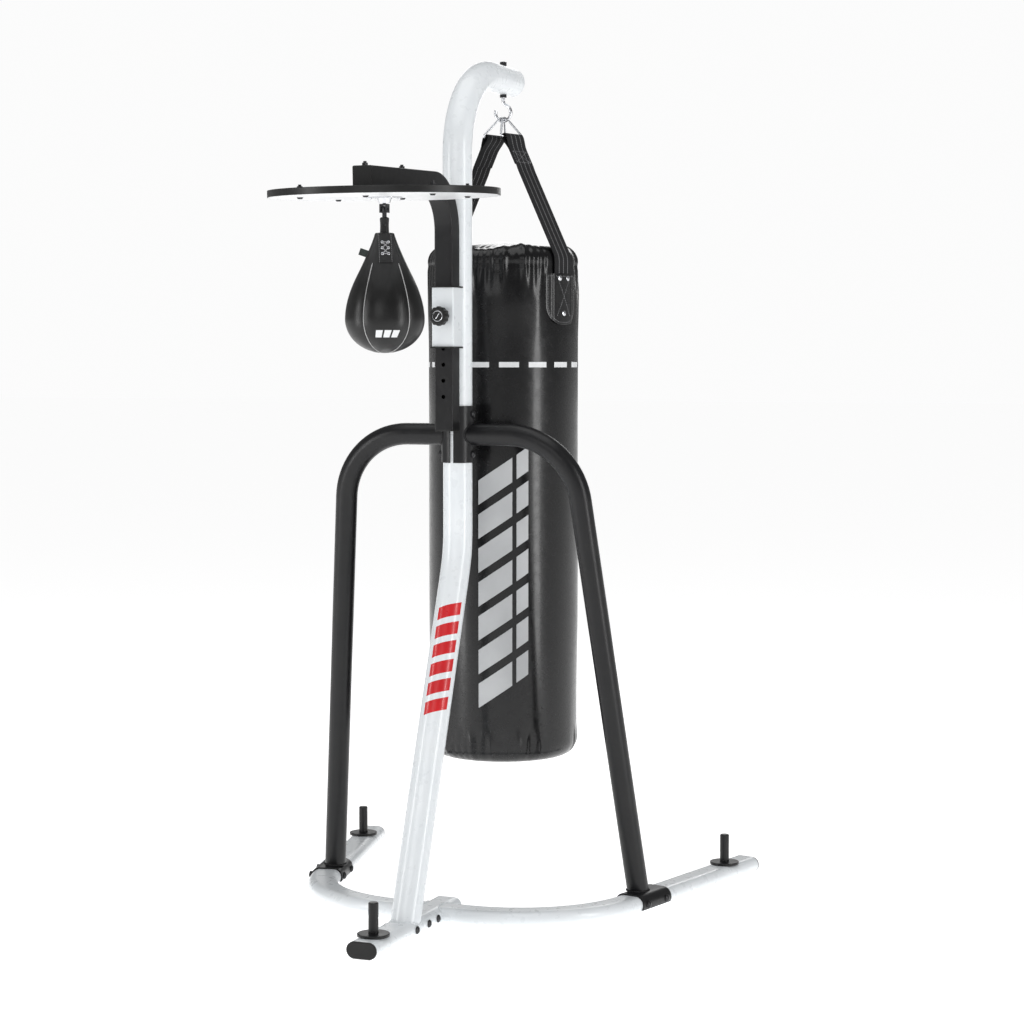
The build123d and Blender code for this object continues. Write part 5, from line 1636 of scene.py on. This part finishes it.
@dataclass
class Studio:
    """Plain floor, soft light and the camera."""

    eye: tuple[float, float, float] = (2.3886, -5.6044, 1.4217)
    heading: float = math.radians(21.76)
    dip: float = math.radians(3.605)
    lens: float = 82.57
    sensor: float = 36.0
    floor_size: float = 160.0
    far: float = 300.0
    backdrop: float = 0.97
    ambient: float = 0.22

    def floor(self) -> None:
        """Lay the floor."""
        half = self.floor_size / 2.0
        mesh = bpy.data.meshes.new("floor")
        corners = [(-half, -half, 0.0), (half, -half, 0.0), (half, half, 0.0), (-half, half, 0.0)]
        mesh.from_pydata(corners, [], [(0, 1, 2, 3)])
        mesh.materials.append(PAINTBOX.get("floor_paint"))
        made = bpy.data.objects.new("floor", mesh)
        made.location.z = -0.5 * MM
        bpy.context.scene.collection.objects.link(made)

    def world(self) -> None:
        """Light the room evenly and leave its far wall white."""
        world = bpy.data.worlds.new("studio")
        bpy.context.scene.world = world
        world.use_nodes = True
        tree = world.node_tree
        tree.nodes.clear()
        output = tree.nodes.new("ShaderNodeOutputWorld")
        mix = tree.nodes.new("ShaderNodeMixShader")
        path = tree.nodes.new("ShaderNodeLightPath")
        for place, strength in ((1, self.ambient), (2, self.backdrop)):
            sky = tree.nodes.new("ShaderNodeBackground")
            sky.inputs["Color"].default_value = (1.0, 1.0, 1.0, 1.0)
            sky.inputs["Strength"].default_value = strength
            tree.links.new(sky.outputs[0], mix.inputs[place])
        tree.links.new(path.outputs["Is Camera Ray"], mix.inputs[0])
        tree.links.new(mix.outputs[0], output.inputs["Surface"])

    def build(self) -> None:
        """Set up the floor, the lamps, the room and the camera."""
        self.floor()
        self.world()
        for lamp in LAMPS:
            lamp.hang()
        data = bpy.data.cameras.new("camera")
        data.lens, data.sensor_width = self.lens, self.sensor
        data.clip_end = self.far
        camera = bpy.data.objects.new("camera", data)
        camera.location = self.eye
        level = turned(self.heading + math.pi / 2.0)
        forward = level * math.cos(self.dip) - Vector((0.0, 0.0, math.sin(self.dip)))
        camera.rotation_euler = forward.to_track_quat("-Z", "Y").to_euler()
        bpy.context.scene.collection.objects.link(camera)
        bpy.context.scene.camera = camera
        bpy.context.scene.view_settings.view_transform = "Standard"
        LOG.info("the studio is set")


def main() -> None:
    """Build the stand, its bags and the studio in order."""
    logging.basicConfig(level=logging.INFO, format="%(name)s: %(message)s")
    steel = SteelFrame()
    steel.paint_nodes()
    steel.weld()
    MastStripes().build()
    PinKnob().build()
    HeavyBag().build()
    SpeedBag().build()
    Studio().build()


if __name__ == "__main__":
    main()
